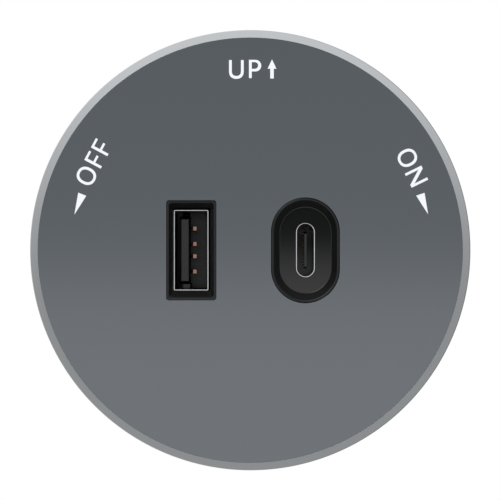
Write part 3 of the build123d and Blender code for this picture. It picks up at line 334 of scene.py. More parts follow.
FINISHES: dict[str, Finish] = {
    # Bead-blasted and anodised dark grey: an even satin that darkens or lightens as a whole with the room
    "gunmetal_anodised": Metal(
        "grey_anodised_blasted_aluminium", "#6d7276", 0.112, 0.05, Lay.BLASTED, 0.32, 0.0002, 0.012, 0.01
    ),
    # Turned and anodised natural: paler, with a bevel that carries the light from above
    "silver_anodised": Metal(
        "clear_anodised_turned_aluminium", "#acafb1", 0.2, 0.05, Lay.TURNED, 0.3, 0.0002, 0.015, 0.015
    ),
    # Polycarbonate from a spark-textured tool: dull black with a fine tooth
    "black_polycarbonate": Moulded("spark_textured_polycarbonate", "#1d1e20", 0.52, 0.15, 0.4, 0.006),
    # Polycarbonate from a smoother tool: black with a soft sheen that shows each edge
    "satin_black_plastic": Moulded(
        "satin_moulded_polycarbonate", "#090a0b", 0.3, 0.05, 0.3, 0.0008, 0.05, 0.03, 0.41
    ),
    # The same polycarbonate where a thin floor round a port has sunk to a faint dome; its darker colour is painted
    # shade and its stronger shine painted sheen
    "floor_plastic_painted_shade_and_sheen": Moulded(
        "satin_polycarbonate_round_port", "#070808", 0.25, 0.05, 0.3, 0.0008, 0.05, 0.03, 0.58, 47.0, -4.1
    ),
    # The same polycarbonate from a duller part of the tool: the funnel inside a port's frame; its darker colour and
    # weaker shine are painted shade
    "funnel_plastic_painted_shade": Moulded(
        "dull_polycarbonate_in_port", "#08090a", 0.42, 0.03, 0.3, 0.0006, 0.05, 0.03, 0.22
    ),
    # Glass-filled nylon: dark grey and matte, with a faint speckle
    "port_plastic": Moulded("glass_filled_nylon", "#161617", 0.48, 0.03, 0.25, 0.0004, 0.06, 0.03, 0.52),
    # The same nylon from a polished core pin, as on the tongues
    "polished_nylon": Moulded("polished_glass_filled_nylon", "#161617", 0.16, 0.03, 0.25, 0.0001, 0.03, 0.02, 0.52),
    # The same nylon on a thin wall that has sunk a little, in a darker colour that is painted shade at the back of
    # the USB-C port
    "domed_nylon_painted_shade": Moulded(
        "sunk_glass_filled_nylon", "#0d0d0e", 0.24, 0.03, 0.25, 0.0004, 0.05, 0.02, 0.56, 50.0, -4.5
    ),
    # The same nylon on the thick rear block, which has hardly sunk, in a darker colour that is painted shade at the
    # back of the USB-A port
    "flat_nylon_painted_shade": Moulded(
        "smooth_glass_filled_nylon", "#0d0d0e", 0.26, 0.03, 0.25, 0.0004, 0.05, 0.02, 0.46, 400.0, -14.0
    ),
    # Nickel-plated steel, drawn: bright and cool, with fine lines along the drawing
    "nickel_steel": Metal("nickel_plated_drawn_steel", "#dcddde", 0.22, 0.03, Lay.DRAWN, 0.15, 0.0004, 0.03, 0.03),
    # Zinc-plated steel: bluish and slightly cloudy
    "zinc_steel": Metal("zinc_plated_steel", "#b9bec4", 0.3, 0.05, Lay.BLASTED, 0.4, 0.001, 0.06, 0.05),
    # Stainless steel, faced on a lathe: fine rings round the axis
    "stainless_steel": Metal("turned_stainless", "#b4b3b0", 0.3, 0.08, Lay.TURNED, 0.22, 0.0015, 0.05, 0.04),
    # Hardened spring steel: grey with a dull shine
    "spring_steel": Metal("hardened_spring_strip", "#83868a", 0.34, 0.04, Lay.BLASTED, 0.3, 0.001, 0.05, 0.04),
    # Brass, machined: warm and bright, with fine tool lines
    "brass": Metal("machined_brass", "#c9a35c", 0.27, 0.08, Lay.BLASTED, 0.35, 0.0012, 0.05, 0.04),
    # Phosphor bronze strip: rosier and duller than brass
    "phosphor_bronze": Metal("rolled_phosphor_bronze", "#a98779", 0.38, 0.04, Lay.DRAWN, 0.2, 0.0008, 0.05, 0.04),
    # Gold flash over nickel: pale yellow and smooth
    "gold_plate": Metal("gold_flash_on_nickel", "#c9a860", 0.3, 0.02, Lay.BLASTED, 0.3, 0.0004, 0.03, 0.03),
    # Enamelled copper wire, close wound: each turn shows as a line
    "copper_wire": Woven("close_wound_enamelled_copper", "#a4562c", 0.32, 0.05, 0.35, 0.9, 0.3, 0.03),
    # Nitrile rubber: black and matte, with a soft bloom
    "black_rubber": Moulded("moulded_nitrile_rubber", "#17181a", 0.74, 0.1, 0.5, 0.006, 0.12, 0.05, 0.35),
    # Acetal, as it comes: milky white and waxy
    "white_nylon": Moulded("milky_acetal", "#dcdcd6", 0.42, 0.05, 0.5, 0.002, 0.02),
    # Glass-epoxy board under green solder mask: the weave shows as faint lines
    "board_green": Woven("solder_masked_glass_epoxy", "#12552d", 0.36, 0.05, 0.6, 0.0, 0.08, 0.004, (0.7, 0.0, 0.7)),
    # Sintered ferrite: dark grey, grainy and dull
    "ferrite": Moulded("sintered_ferrite", "#35363a", 0.62, 0.1, 0.3, 0.006, 0.15),
    # Shrunk sleeve on a capacitor's can: glossy, with faint hoops
    "capacitor_sleeve": Woven("shrunk_capacitor_sleeve", "#1c2440", 0.24, 0.2, 2.9, 0.0, 0.06, 0.004),
    # Film capacitor's potting case: yellow and slightly glossy
    "yellow_film": Moulded("potted_film_capacitor", "#d9a91e", 0.34, 0.2, 0.5, 0.002, 0.04),
    # Dipped ceramic capacitor: blue epoxy with an orange-peel skin
    "blue_ceramic": Moulded("dipped_blue_epoxy", "#1f55a8", 0.3, 0.3, 0.8, 0.01, 0.05),
    # Transfer-moulded epoxy package: black, matte and fine
    "chip_black": Moulded("transfer_moulded_epoxy", "#1c1c1d", 0.56, 0.05, 0.2, 0.002, 0.1),
    # Extruded insulation: smooth, with a faint lengthwise draw
    "brown_wire": Moulded("brown_extruded_insulation", "#59341f", 0.4, 0.05, 0.9, 0.002, 0.05),
    "blue_wire": Moulded("blue_extruded_insulation", "#1c4aa0", 0.4, 0.05, 0.9, 0.002, 0.05),
    "green_wire": Moulded("green_extruded_insulation", "#4c8f2b", 0.4, 0.05, 0.9, 0.002, 0.05),
    # White pad-print ink: thin and matte, so that it stays an even white
    "white_ink": PadPrint("white_pad_print_ink", "#f8faff", 0.6, 0.01),
}


# Outlines and meshes


@dataclass(frozen=True)
class Rounded:
    """A rectangle with round corners seen from the front; a disc and a slot are the full-corner cases."""

    centre: Point
    size: Point
    corner: float
    steps: int = 8
    spans: int = 1

    def ring(self, grow: float, y: float) -> Ring:
        """Give the outline's points, grown all round, at a depth.

        Args:
            grow: Distance that the outline is moved outwards.
            y: Depth of the ring.

        Returns:
            The points in order round the outline.
        """
        corner = max(self.corner + grow, 0.02)
        half = (self.size[0] / 2 + grow, self.size[1] / 2 + grow)
        straight = (self.size[0] / 2 - self.corner, self.size[1] / 2 - self.corner)
        arcs = []
        for quarter in range(4):
            right = 1 if quarter in (0, 3) else -1
            top = 1 if quarter < 2 else -1
            middle = Vector(
                (self.centre[0] + right * (half[0] - corner), y, self.centre[1] + top * (half[1] - corner))
            )
            angles = [math.radians(90 * (quarter + step / self.steps)) for step in range(self.steps + 1)]
            arcs.append([middle + corner * Vector((math.cos(a), 0.0, math.sin(a))) for a in angles])
        points = []
        for quarter, arc in enumerate(arcs):
            ahead = arcs[(quarter + 1) % 4][0]
            if straight[quarter % 2] < 1e-6:
                points += arc[:-1]
            else:
                points += arc + [arc[-1].lerp(ahead, i / self.spans) for i in range(1, self.spans)]
        return points

    def rings(self, path: Iterable[Point]) -> list[Ring]:
        """Give a ring for each growth and depth of a path."""
        return [self.ring(grow, y) for grow, y in path]


def disc(radius: float, centre: Point = (0.0, 0.0), steps: int = 32) -> Rounded:
    """Give a round outline.

    Args:
        radius: Radius in mm.
        centre: Its X and Z.
        steps: Points in a quarter turn.

    Returns:
        The outline.
    """
    return Rounded(centre, (2 * radius, 2 * radius), radius, steps)


def turned(path: Iterable[Point], steps: int) -> list[Ring]:
    """Give the rings of a turned part from its radii and depths."""
    return [disc(radius, steps=steps).ring(0, y) for radius, y in path]


def heading(degrees: float) -> Point:
    """Give the unit direction at an angle from +X towards +Z."""
    return (math.cos(math.radians(degrees)), math.sin(math.radians(degrees)))


@dataclass(frozen=True)
class Cross:
    """The four-armed outline of a cross recess."""

    centre: Point
    reach: float
    width: float

    def ring(self, grow: float, y: float) -> Ring:
        """Give the recess's twelve corners, grown all round, at a depth.

        Args:
            grow: Distance that the outline is moved outwards.
            y: Depth of the ring.

        Returns:
            The points in order round the outline.
        """
        far = self.reach + grow
        near = self.width / 2 + grow
        quarter = [(far, -near), (far, near), (near, near)]
        points = []
        for turn in range(4):
            c, s = math.cos(turn * math.pi / 2), math.sin(turn * math.pi / 2)
            points += [
                Vector((self.centre[0] + c * x - s * z, y, self.centre[1] + s * x + c * z)) for x, z in quarter
            ]
        return points


def eased(path: Sequence[Triple], steps: int = 4) -> list[Point]:
    """Round the corners of a path.

    Args:
        path: Two coordinates and a radius for each corner, with 0 where it stays sharp.
        steps: Pieces in each rounded corner.

    Returns:
        The points of the eased path.
    """
    points: list[Point] = []
    for index, (a, b, radius) in enumerate(path):
        here = Vector((a, b))
        if radius <= 0 or index in (0, len(path) - 1):
            points.append((a, b))
            continue
        back = Vector(path[index - 1][:2]) - here
        ahead = Vector(path[index + 1][:2]) - here
        half = back.angle(ahead) / 2
        reach = min(radius / math.tan(half), 0.49 * back.length, 0.49 * ahead.length)
        start, end = here + back.normalized() * reach, here + ahead.normalized() * reach
        for step in range(steps + 1):
            t = step / steps
            spot = start * (1 - t) ** 2 + here * 2 * t * (1 - t) + end * t**2
            points.append((spot.x, spot.y))
    return points


def linked(name: str, data: bpy.types.ID) -> Piece:
    """Make an object of a mesh, lamp or camera, and link it to the scene.

    Args:
        name: Name of the object.
        data: Its mesh, lamp or camera.

    Returns:
        The object, in the scene.
    """
    made = bpy.data.objects.new(name, data)
    bpy.context.scene.collection.objects.link(made)
    return made


class Blank:
    """A mesh being made in mm, from bands between rings and flat caps with holes."""

    seam = 0.001
    sliver = 0.0005
    sharp_from = math.radians(38)

    def __init__(self) -> None:
        """Start an empty mesh."""
        self.mesh = bmesh.new()

    def band(self, rings: Sequence[Ring], wrap: bool = False) -> None:
        """Join rings of equal count, one to the next, with quads.

        Args:
            rings: The rings in order.
            wrap: Whether the last ring joins the first.
        """
        rows = [[self.mesh.verts.new(point) for point in ring] for ring in rings]
        if wrap:
            rows.append(rows[0])
        count = len(rows[0])
        for near, far in zip(rows, rows[1:]):
            for i in range(count):
                j = (i + 1) % count
                self.mesh.faces.new((near[i], near[j], far[j], far[i])).smooth = True

    def cap(self, outer: Ring, holes: Iterable[Ring] = ()) -> None:
        """Close a ring with a flat face that may have holes.

        Args:
            outer: The outer ring.
            holes: Rings inside it that stay open.
        """
        loops = [outer, *holes]
        flat = [[Vector((p.x, p.z, 0.0)) for p in loop] for loop in loops]
        verts = [self.mesh.verts.new(point) for loop in loops for point in loop]
        for a, b, c in tessellate_polygon(flat):
            if len({a, b, c}) == 3:
                self.mesh.faces.new((verts[a], verts[b], verts[c])).smooth = False

    def plug(self, rings: Sequence[Ring]) -> None:
        """Make a solid form: a band with both ends closed.

        Args:
            rings: The rings from end to end.
        """
        self.band(rings)
        self.cap(rings[0])
        self.cap(rings[-1])

    def pipe(self, rings: Sequence[Ring]) -> None:
        """Make a frame: a band out, over and back in, closed flat between its first and last rings."""
        self.band(rings)
        self.cap(rings[0], [rings[-1]])

    def sleeve(self, outside: Sequence[Ring], inside: Sequence[Ring]) -> None:
        """Make a flat ring from its outer and inner walls.

        Args:
            outside: Rings of the outer wall.
            inside: Rings of the inner wall.
        """
        self.band(outside)
        self.band(inside)
        self.cap(outside[0], [inside[0]])
        self.cap(outside[-1], [inside[-1]])

    def finish(self, name: str, finish: str | bpy.types.Material) -> Piece:
        """Merge the seams, turn the faces outwards and make the object in metres.

        Args:
            name: The object's name.
            finish: The finish that it wears.

        Returns:
            The object, at the origin, with its place in its mesh.
        """
        bmesh.ops.remove_doubles(self.mesh, verts=self.mesh.verts, dist=self.seam)
        bmesh.ops.dissolve_degenerate(self.mesh, edges=self.mesh.edges, dist=self.sliver)
        bmesh.ops.recalc_face_normals(self.mesh, faces=self.mesh.faces)
        bmesh.ops.scale(self.mesh, vec=(MM, MM, MM), verts=self.mesh.verts)
        open_edges = sum(1 for edge in self.mesh.edges if not edge.is_manifold)
        for edge in self.mesh.edges:
            kinds = {face.smooth for face in edge.link_faces}
            edge.smooth = len(kinds) < 2 and edge.calc_face_angle(0.0) < self.sharp_from
        for face in self.mesh.faces:
            face.smooth = True
        data = bpy.data.meshes.new(name)
        self.mesh.to_mesh(data)
        self.mesh.free()
        data.materials.append(FINISHES[finish].build() if isinstance(finish, str) else finish)
        made = linked(name, data)
        LOG.info("made %s: %d faces, %d open edges", name, len(data.polygons), open_edges)
        return made


def baked(host: Piece) -> Piece:
    """Turn an object's modifiers into a plain mesh on a new object, and remove the old one.

    Args:
        host: The object with its modifiers.

    Returns:
        The plain object, under the same name.
    """
    name = host.name
    scene = bpy.context.evaluated_depsgraph_get()
    data = bpy.data.meshes.new_from_object(host.evaluated_get(scene))
    host.modifiers.clear()
    bpy.data.objects.remove(host)
    return linked(name, data)


def weighted(piece: Piece) -> Piece:
    """Shade a piece so that its flats stay flat beside its eased edges.

    Args:
        piece: The piece; a new object takes its place.

    Returns:
        The shaded piece, under the same name.
    """
    modifier = piece.modifiers.new("flats", "WEIGHTED_NORMAL")
    modifier.keep_sharp = True
    return baked(piece)


def install(piece: Piece, slot: str, *nodes: str, body: BodyName = BodyName.HEAD) -> None:
    """Put a finished piece on its body, in place of its CAD nodes.

    Args:
        piece: The finished object.
        slot: The record's material slot; not used.
        nodes: The CAD nodes that it stands for.
        body: The body that it rides on.
    """
    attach(piece, body.value)
    if nodes:
        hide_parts(*nodes)
    LOG.info("installed %s on %s for %s", piece.name, body.value, ", ".join(nodes) or "no node")


# Repeats, as Geometry Nodes


class PieceTree:
    """A Geometry Nodes tree with named inputs, which makes one plain piece from a host object."""

    def __init__(self, name: str, host: str, kinds: Mapping[str, str], made: str) -> None:
        """Start the tree with its sockets.

        Args:
            name: Name of the tree.
            host: Name of the input that takes the host's own geometry.
            kinds: The kind of socket of each other input, by the input's name.
            made: Name of the output.
        """
        self.tree = bpy.data.node_groups.new(name, "GeometryNodeTree")
        face = self.tree.interface
        face.new_socket(host, in_out="INPUT", socket_type="NodeSocketGeometry")
        self.inputs = {
            key: face.new_socket(key, in_out="INPUT", socket_type=f"NodeSocket{kind}").identifier
            for key, kind in kinds.items()
        }
        face.new_socket(made, in_out="OUTPUT", socket_type="NodeSocketGeometry")
        self.given = add_node(self.tree, "NodeGroupInput").outputs

    def close(self, shape: Node) -> None:
        """End the tree with real geometry in the given finish.

        Args:
            shape: The last node of the shape.
        """
        real = add_node(self.tree, "GeometryNodeRealizeInstances", {0: shape})
        finish = {"Geometry": real, "Material": self.given["Finish"]}
        dressed = add_node(self.tree, "GeometryNodeSetMaterial", finish)
        add_node(self.tree, "NodeGroupOutput", {0: dressed})

    def run(self, host: Piece, values: Mapping[str, object]) -> Piece:
        """Run the tree on a host.

        Args:
            host: The object that takes the tree; it is removed afterwards.
            values: What each named input is set to, through its identifier.

        Returns:
            The plain object, under the host's name.
        """
        modifier = host.modifiers.new(self.tree.name, "NODES")
        modifier.node_group = self.tree
        for key, value in values.items():
            modifier[self.inputs[key]] = value
        return baked(host)


class SpotRepeater(PieceTree):
    """Sets one made shape on each of a host's points, turned by a fixed chance about the Y axis."""

    def __init__(self) -> None:
        """Build the tree with its named inputs."""
        kinds = {"Shape": "Object", "Finish": "Material", "Greatest spin": "Float", "Seed": "Int"}
        super().__init__("shape_on_spots", "Spots", kinds, "Shapes")
        tree, given = self.tree, self.given
        reach = add_node(tree, "ShaderNodeCombineXYZ", {"Y": given["Greatest spin"]})
        limits = {0: (0.0, 0.0, 0.0), 1: reach, "Seed": given["Seed"]}
        turn = add_node(tree, "FunctionNodeRandomValue", limits, data_type="FLOAT_VECTOR")
        shape = add_node(tree, "GeometryNodeObjectInfo", {"Object": given["Shape"]}).outputs["Geometry"]
        setting = {"Points": given["Spots"], "Instance": shape, "Rotation": turn}
        self.close(add_node(tree, "GeometryNodeInstanceOnPoints", setting))

    def repeat(
        self, name: str, shape: Piece, spots: Sequence[Triple], finish: str, spin: float = 0.0, seed: int = 1
    ) -> Piece:
        """Set the shape on each spot.

        Args:
            name: Name of the finished piece.
            shape: The shape, made round the origin; it is removed afterwards.
            spots: Places in mm.
            finish: The finish that all of them wear.
            spin: Greatest turn in radians.
            seed: Seed of the chance turns.

        Returns:
            One plain object that holds every repeat.
        """
        data = bpy.data.meshes.new(name)
        data.from_pydata([[c * MM for c in spot] for spot in spots], [], [])
        values = {"Shape": shape, "Finish": FINISHES[finish].build(), "Greatest spin": spin, "Seed": seed}
        made = self.run(linked(name, data), values)
        bpy.data.objects.remove(shape)
        return made


class CoilWinder(PieceTree):
    """Winds a coil spring along X from a start point."""

    def __init__(self) -> None:
        """Build the tree with its named inputs."""
        kinds = dict.fromkeys(("Turns", "Coil radius", "Length", "Wire radius", "Lean"), "Float")
        super().__init__("coil_spring", "Host", kinds | {"Start": "Vector", "Finish": "Material"}, "Coil")
        tree, given = self.tree, self.given
        helix = {
            "Resolution": 28,
            "Rotations": given["Turns"],
            "Start Radius": given["Coil radius"],
            "End Radius": given["Coil radius"],
            "Height": given["Length"],
        }
        path = add_node(tree, "GeometryNodeCurveSpiral", helix)
        wire = {"Resolution": 12, "Radius": given["Wire radius"]}
        section = add_node(tree, "GeometryNodeCurvePrimitiveCircle", wire)
        sweep = {"Curve": path, "Profile Curve": section, "Fill Caps": True}
        tube = add_node(tree, "GeometryNodeCurveToMesh", sweep)
        lean = add_node(tree, "ShaderNodeCombineXYZ", {"Y": given["Lean"]})
        place = {"Geometry": tube, "Translation": given["Start"], "Rotation": lean}
        laid = add_node(tree, "GeometryNodeTransform", place)
        self.close(add_node(tree, "GeometryNodeSetShadeSmooth", {0: laid}))

    def wind(
        self, name: str, start: Triple, length: float, side: int, turns: float, radius: float, wire: float
    ) -> Piece:
        """Wind one spring of hardened steel.

        Args:
            name: Name of the finished spring.
            start: Middle of its inner end, in mm.
            length: Its length between the middles of its end turns.
            side: 1 where it runs towards +X, and -1 towards -X.
            turns: How many turns it has.
            radius: Radius of the coil's middle line.
            wire: Radius of its wire.

        Returns:
            The plain object.
        """
        values = {
            "Turns": turns,
            "Coil radius": radius * MM,
            "Length": length * MM,
            "Wire radius": wire * MM,
            "Lean": side * math.pi / 2,
            "Start": [c * MM for c in start],
            "Finish": FINISHES["spring_steel"].build(),
        }
        made = self.run(linked(name, bpy.data.meshes.new(name)), values)
        shell = bmesh.new()
        shell.from_mesh(made.data)
        bmesh.ops.remove_doubles(shell, verts=shell.verts, dist=1e-7)
        bmesh.ops.recalc_face_normals(shell, faces=shell.faces)
        shell.to_mesh(made.data)
        shell.free()
        return made


# Sub-assemblies


@dataclass
class FacePlate:
    """The round metal face with its two openings, and the bevelled ring that frames it."""

    radius: float = 34.14
    ring_radius: float = 35.5
    front_y: float = -32.0
    plate_rear_y: float = -30.8
    bevel_y: float = -31.0
    ring_end_y: float = -13.0
    gap: float = 0.02
    edge: float = 0.03
    openings: tuple[Rounded, ...] = (
        Rounded((-9.48, 0.0), (8.01, 16.03), 0.43),
        Rounded((8.865, -0.015), (11.01, 16.95), 5.505, 20),
    )

    def make_plate(self) -> None:
        """Make the face plate, with eased edges at the rim and round the openings."""
        blank = Blank()
        path = eased([(0, self.plate_rear_y, 0), (0, self.front_y, self.edge), (-1, self.front_y, 0)])[:-1]
        rim = disc(self.radius - self.gap / 2, steps=56)
        rim_rings = rim.rings(path)
        blank.band(rim_rings)
        hole_rings = []
        for opening in self.openings:
            rings = [opening.ring(self.gap - grow, y) for grow, y in path]
            blank.band(rings)
            hole_rings.append(rings)
        blank.cap(rim_rings[-1], [rings[-1] for rings in hole_rings])
        blank.cap(rim_rings[0], [rings[0] for rings in hole_rings])
        plate = blank.finish("dressed_face_plate", "gunmetal_anodised")
        install(plate, "gunmetal_anodised", "face_plate")

    def make_ring(self) -> None:
        """Make the trim ring as one closed turned section."""
        inner, outer = self.radius, self.ring_radius
        path = [(inner, -20.0, 0), (inner, self.front_y, 0.02), (outer, self.bevel_y, 0.4)]
        path += [(outer, self.ring_end_y, 0.25), (inner, self.ring_end_y, 0.1), (inner, -20.0, 0)]
        blank = Blank()
        blank.band(turned(eased(path, steps=6)[:-1], 64), wrap=True)
        ring = weighted(blank.finish("dressed_trim_ring", "silver_anodised"))
        install(ring, "silver_anodised", "trim_ring")


@dataclass
class FunctionMarks:
    """The printed marks on the face: UP and the two ends of the quarter turn, with their arrows."""

    face_y: float = -32.0
    proud: float = 0.02
    sunk: float = 0.01
    shift: Point = (-0.08, 0.08)

    def print_loops(self, blank: Blank, outer: Sequence[Point], holes: Sequence[Sequence[Point]] = ()) -> None:
        """Raise one shape of ink on the face.

        Args:
            blank: The mesh that takes it.
            outer: The shape's outer points, as X and Z.
            holes: Its openings.
        """
        loops = [[(x + self.shift[0], z + self.shift[1]) for x, z in loop] for loop in (outer, *holes)]
        low = [[Vector((x, self.face_y + self.sunk, z)) for x, z in loop] for loop in loops]
        high = [[Vector((x, self.face_y - self.proud, z)) for x, z in loop] for loop in loops]
        for near, far in zip(low, high):
            blank.band([near, far])
        blank.cap(low[0], low[1:])
        blank.cap(high[0], high[1:])

    @staticmethod
    def placed(points: Iterable[Point], start: Point, right: Point) -> list[Point]:
        """Turn and move a letter's points on the face.

        Args:
            points: Points from the letter's lower left corner.
            start: Where that corner goes.
            right: The unit direction in which the word is read.

        Returns:
            The points on the face.
        """
        up = (-right[1], right[0])
        return [(start[0] + x * right[0] + z * up[0], start[1] + x * right[1] + z * up[1]) for x, z in points]

    @staticmethod
    def oval(width: float, height: float, squareness: float = 2.25, count: int = 48) -> list[Point]:
        """Give a slightly squared oval round the origin, as a letter O has.

        Args:
            width: Its width.
            height: Its height.
            squareness: 2 for an ellipse, and more for squarer shoulders.
            count: Number of points.

        Returns:
            The points of the oval.
        """
        power = 2 / squareness
        turns = [(math.cos(math.tau * i / count), math.sin(math.tau * i / count)) for i in range(count)]
        return [
            (math.copysign(abs(c) ** power, c) * width / 2, math.copysign(abs(s) ** power, s) * height / 2)
            for c, s in turns
        ]

    @staticmethod
    def letter_u(width: float, height: float, stem: float) -> list[Point]:
        """Give the outline of a letter U.

        Args:
            width: The letter's width.
            height: Its height.
            stem: Width of its upright strokes.

        Returns:
            The points from the letter's lower left corner.
        """
        middle, deep = width / 2, 1.22
        inner_wide, inner_deep = middle - stem, deep - 0.47
        arc = []
        for i in range(17):
            c, s = math.cos(math.pi * i / 16), math.sin(math.pi * i / 16)
            arc.append((math.copysign(abs(c) ** 0.86, c), abs(s) ** 0.86))
        outer = [(middle - middle * c, deep - deep * s) for c, s in arc]
        inner = [(middle + inner_wide * c, deep - inner_deep * s) for c, s in arc]
        return [(0, height), *outer, (width, height), (width - stem, height), *inner, (stem, height)]

    @staticmethod
    def letter_p(width: float, height: float, stem: float) -> tuple[list[Point], list[Point]]:
        """Give the outline of a letter P and the outline of its eye.

        Args:
            width: The letter's width.
            height: Its height.
            stem: Width of its upright strokes.

        Returns:
            The points of both, from the letter's lower left corner.
        """
        low = height - 1.87
        eye_low, eye_high = low + 0.42, height - 0.37
        radius = (eye_high - eye_low) / 2
        bends = []
        for x, z, bend in ((width - 0.935, low + 0.935, 0.935), (width - 0.5 - radius, eye_low + radius, radius)):
            angles = [math.pi * (i / 14 - 0.5) for i in range(15)]
            bends.append([(x + bend * math.cos(a), z + bend * math.sin(a)) for a in angles])
        outer = [(0, 0), (stem, 0), (stem, low), *bends[0], (0, height)]
        return outer, [(stem, eye_low), *bends[1], (stem, eye_high)]

    @staticmethod
    def letter_f(width: float, height: float, stem: float, arm: float) -> list[Point]:
        """Give the outline of a letter F.

        Args:
            width: The letter's width.
            height: Its height.
            stem: Width of its upright strokes.
            arm: Height of its arms.

        Returns:
            The points from the letter's lower left corner.
        """
        middle, tip = height - 1.4, width - 0.1
        lower = [(0, 0), (stem, 0), (stem, middle - arm), (tip, middle - arm), (tip, middle)]
        return [*lower, (stem, middle), (stem, height - arm), (width, height - arm), (width, height), (0, height)]

    @staticmethod
    def letter_n(width: float, height: float, stem: float) -> list[Point]:
        """Give the outline of a letter N.

        Args:
            width: The letter's width.
            height: Its height.
            stem: Width of its upright strokes.

        Returns:
            The points from the letter's lower left corner.
        """
        slant, edge = stem * 1.25, width - stem
        lower = [(0, 0), (stem, 0), (stem, height - 0.72), (width - slant, 0), (width, 0)]
        return [*lower, (width, height), (edge, height), (edge, 0.72), (slant, height), (0, height)]

    def print_o(self, blank: Blank, middle: Point, right: Point, eye: Point) -> None:
        """Print a letter O round a middle, with the size of its eye.

        Args:
            blank: The mesh that takes it.
            middle: Middle of the letter.
            right: The unit direction in which the word is read.
            eye: Width and height of its eye.
        """
        outer, hole = (self.placed(self.oval(*size), middle, right) for size in ((2.76, 3.12), eye))
        self.print_loops(blank, outer, [hole])

    def make(self) -> None:
        """Print every mark as one thin piece."""
        blank = Blank()
        level = (1.0, 0.0)
        self.print_loops(blank, self.placed(self.letter_u(2.36, 3.02, 0.445), (-3.33, 27.44), level))
        outer, eye = (self.placed(loop, (-0.13, 27.56), level) for loop in self.letter_p(1.98, 2.94, 0.45))
        self.print_loops(blank, outer, [eye])
        shaft = [(3.29, 27.5), (3.86, 27.5), (3.86, 29.07)]
        self.print_loops(blank, [*shaft, (4.28, 29.07), (3.575, 30.57), (2.87, 29.07), (3.29, 29.07)])

        rising = heading(61.8)
        self.print_o(blank, (-26.24, 11.865), rising, (1.88, 2.3))
        for corner in ((-26.614, 14.446), (-25.545, 16.451)):
            start = (corner[0] + 3.025 * rising[1], corner[1] - 3.025 * rising[0])
            self.print_loops(blank, self.placed(self.letter_f(1.685, 2.99, 0.43, 0.37), start, rising))
        self.print_loops(blank, [(-27.545, 9.167), (-26.26, 8.657), (-28.173, 5.635)])

        self.print_o(blank, (25.326, 14.754), heading(-62), (1.87, 2.29))
        self.print_loops(blank, self.placed(self.letter_n(2.52, 2.96, 0.41), (24.9, 12.21), heading(-63.8)))
        self.print_loops(blank, [(26.735, 8.684), (28.079, 9.135), (28.657, 5.672)])
        marks = blank.finish("function_marks", "white_ink")
        install(marks, "white_nylon")


def install_frame(port: str, frame: Blank, outside: Sequence[Ring], inside: Sequence[Ring]) -> None:
    """Finish a port's frame, with the flange behind the face plate that holds it.

    Args:
        port: What the names of its pieces start with.
        frame: The frame's mesh.
        outside: The flange's outer wall.
        inside: The flange's inner wall.
    """
    bezel = weighted(frame.finish(f"dressed_{port}_bezel", "satin_black_plastic"))
    flange = Blank()
    flange.sleeve(outside, inside)
    ledge = flange.finish(f"{port}_bezel_flange", "satin_black_plastic")
    install(bezel, "satin_black_plastic", f"{port}_bezel")
    install(ledge, "satin_black_plastic")


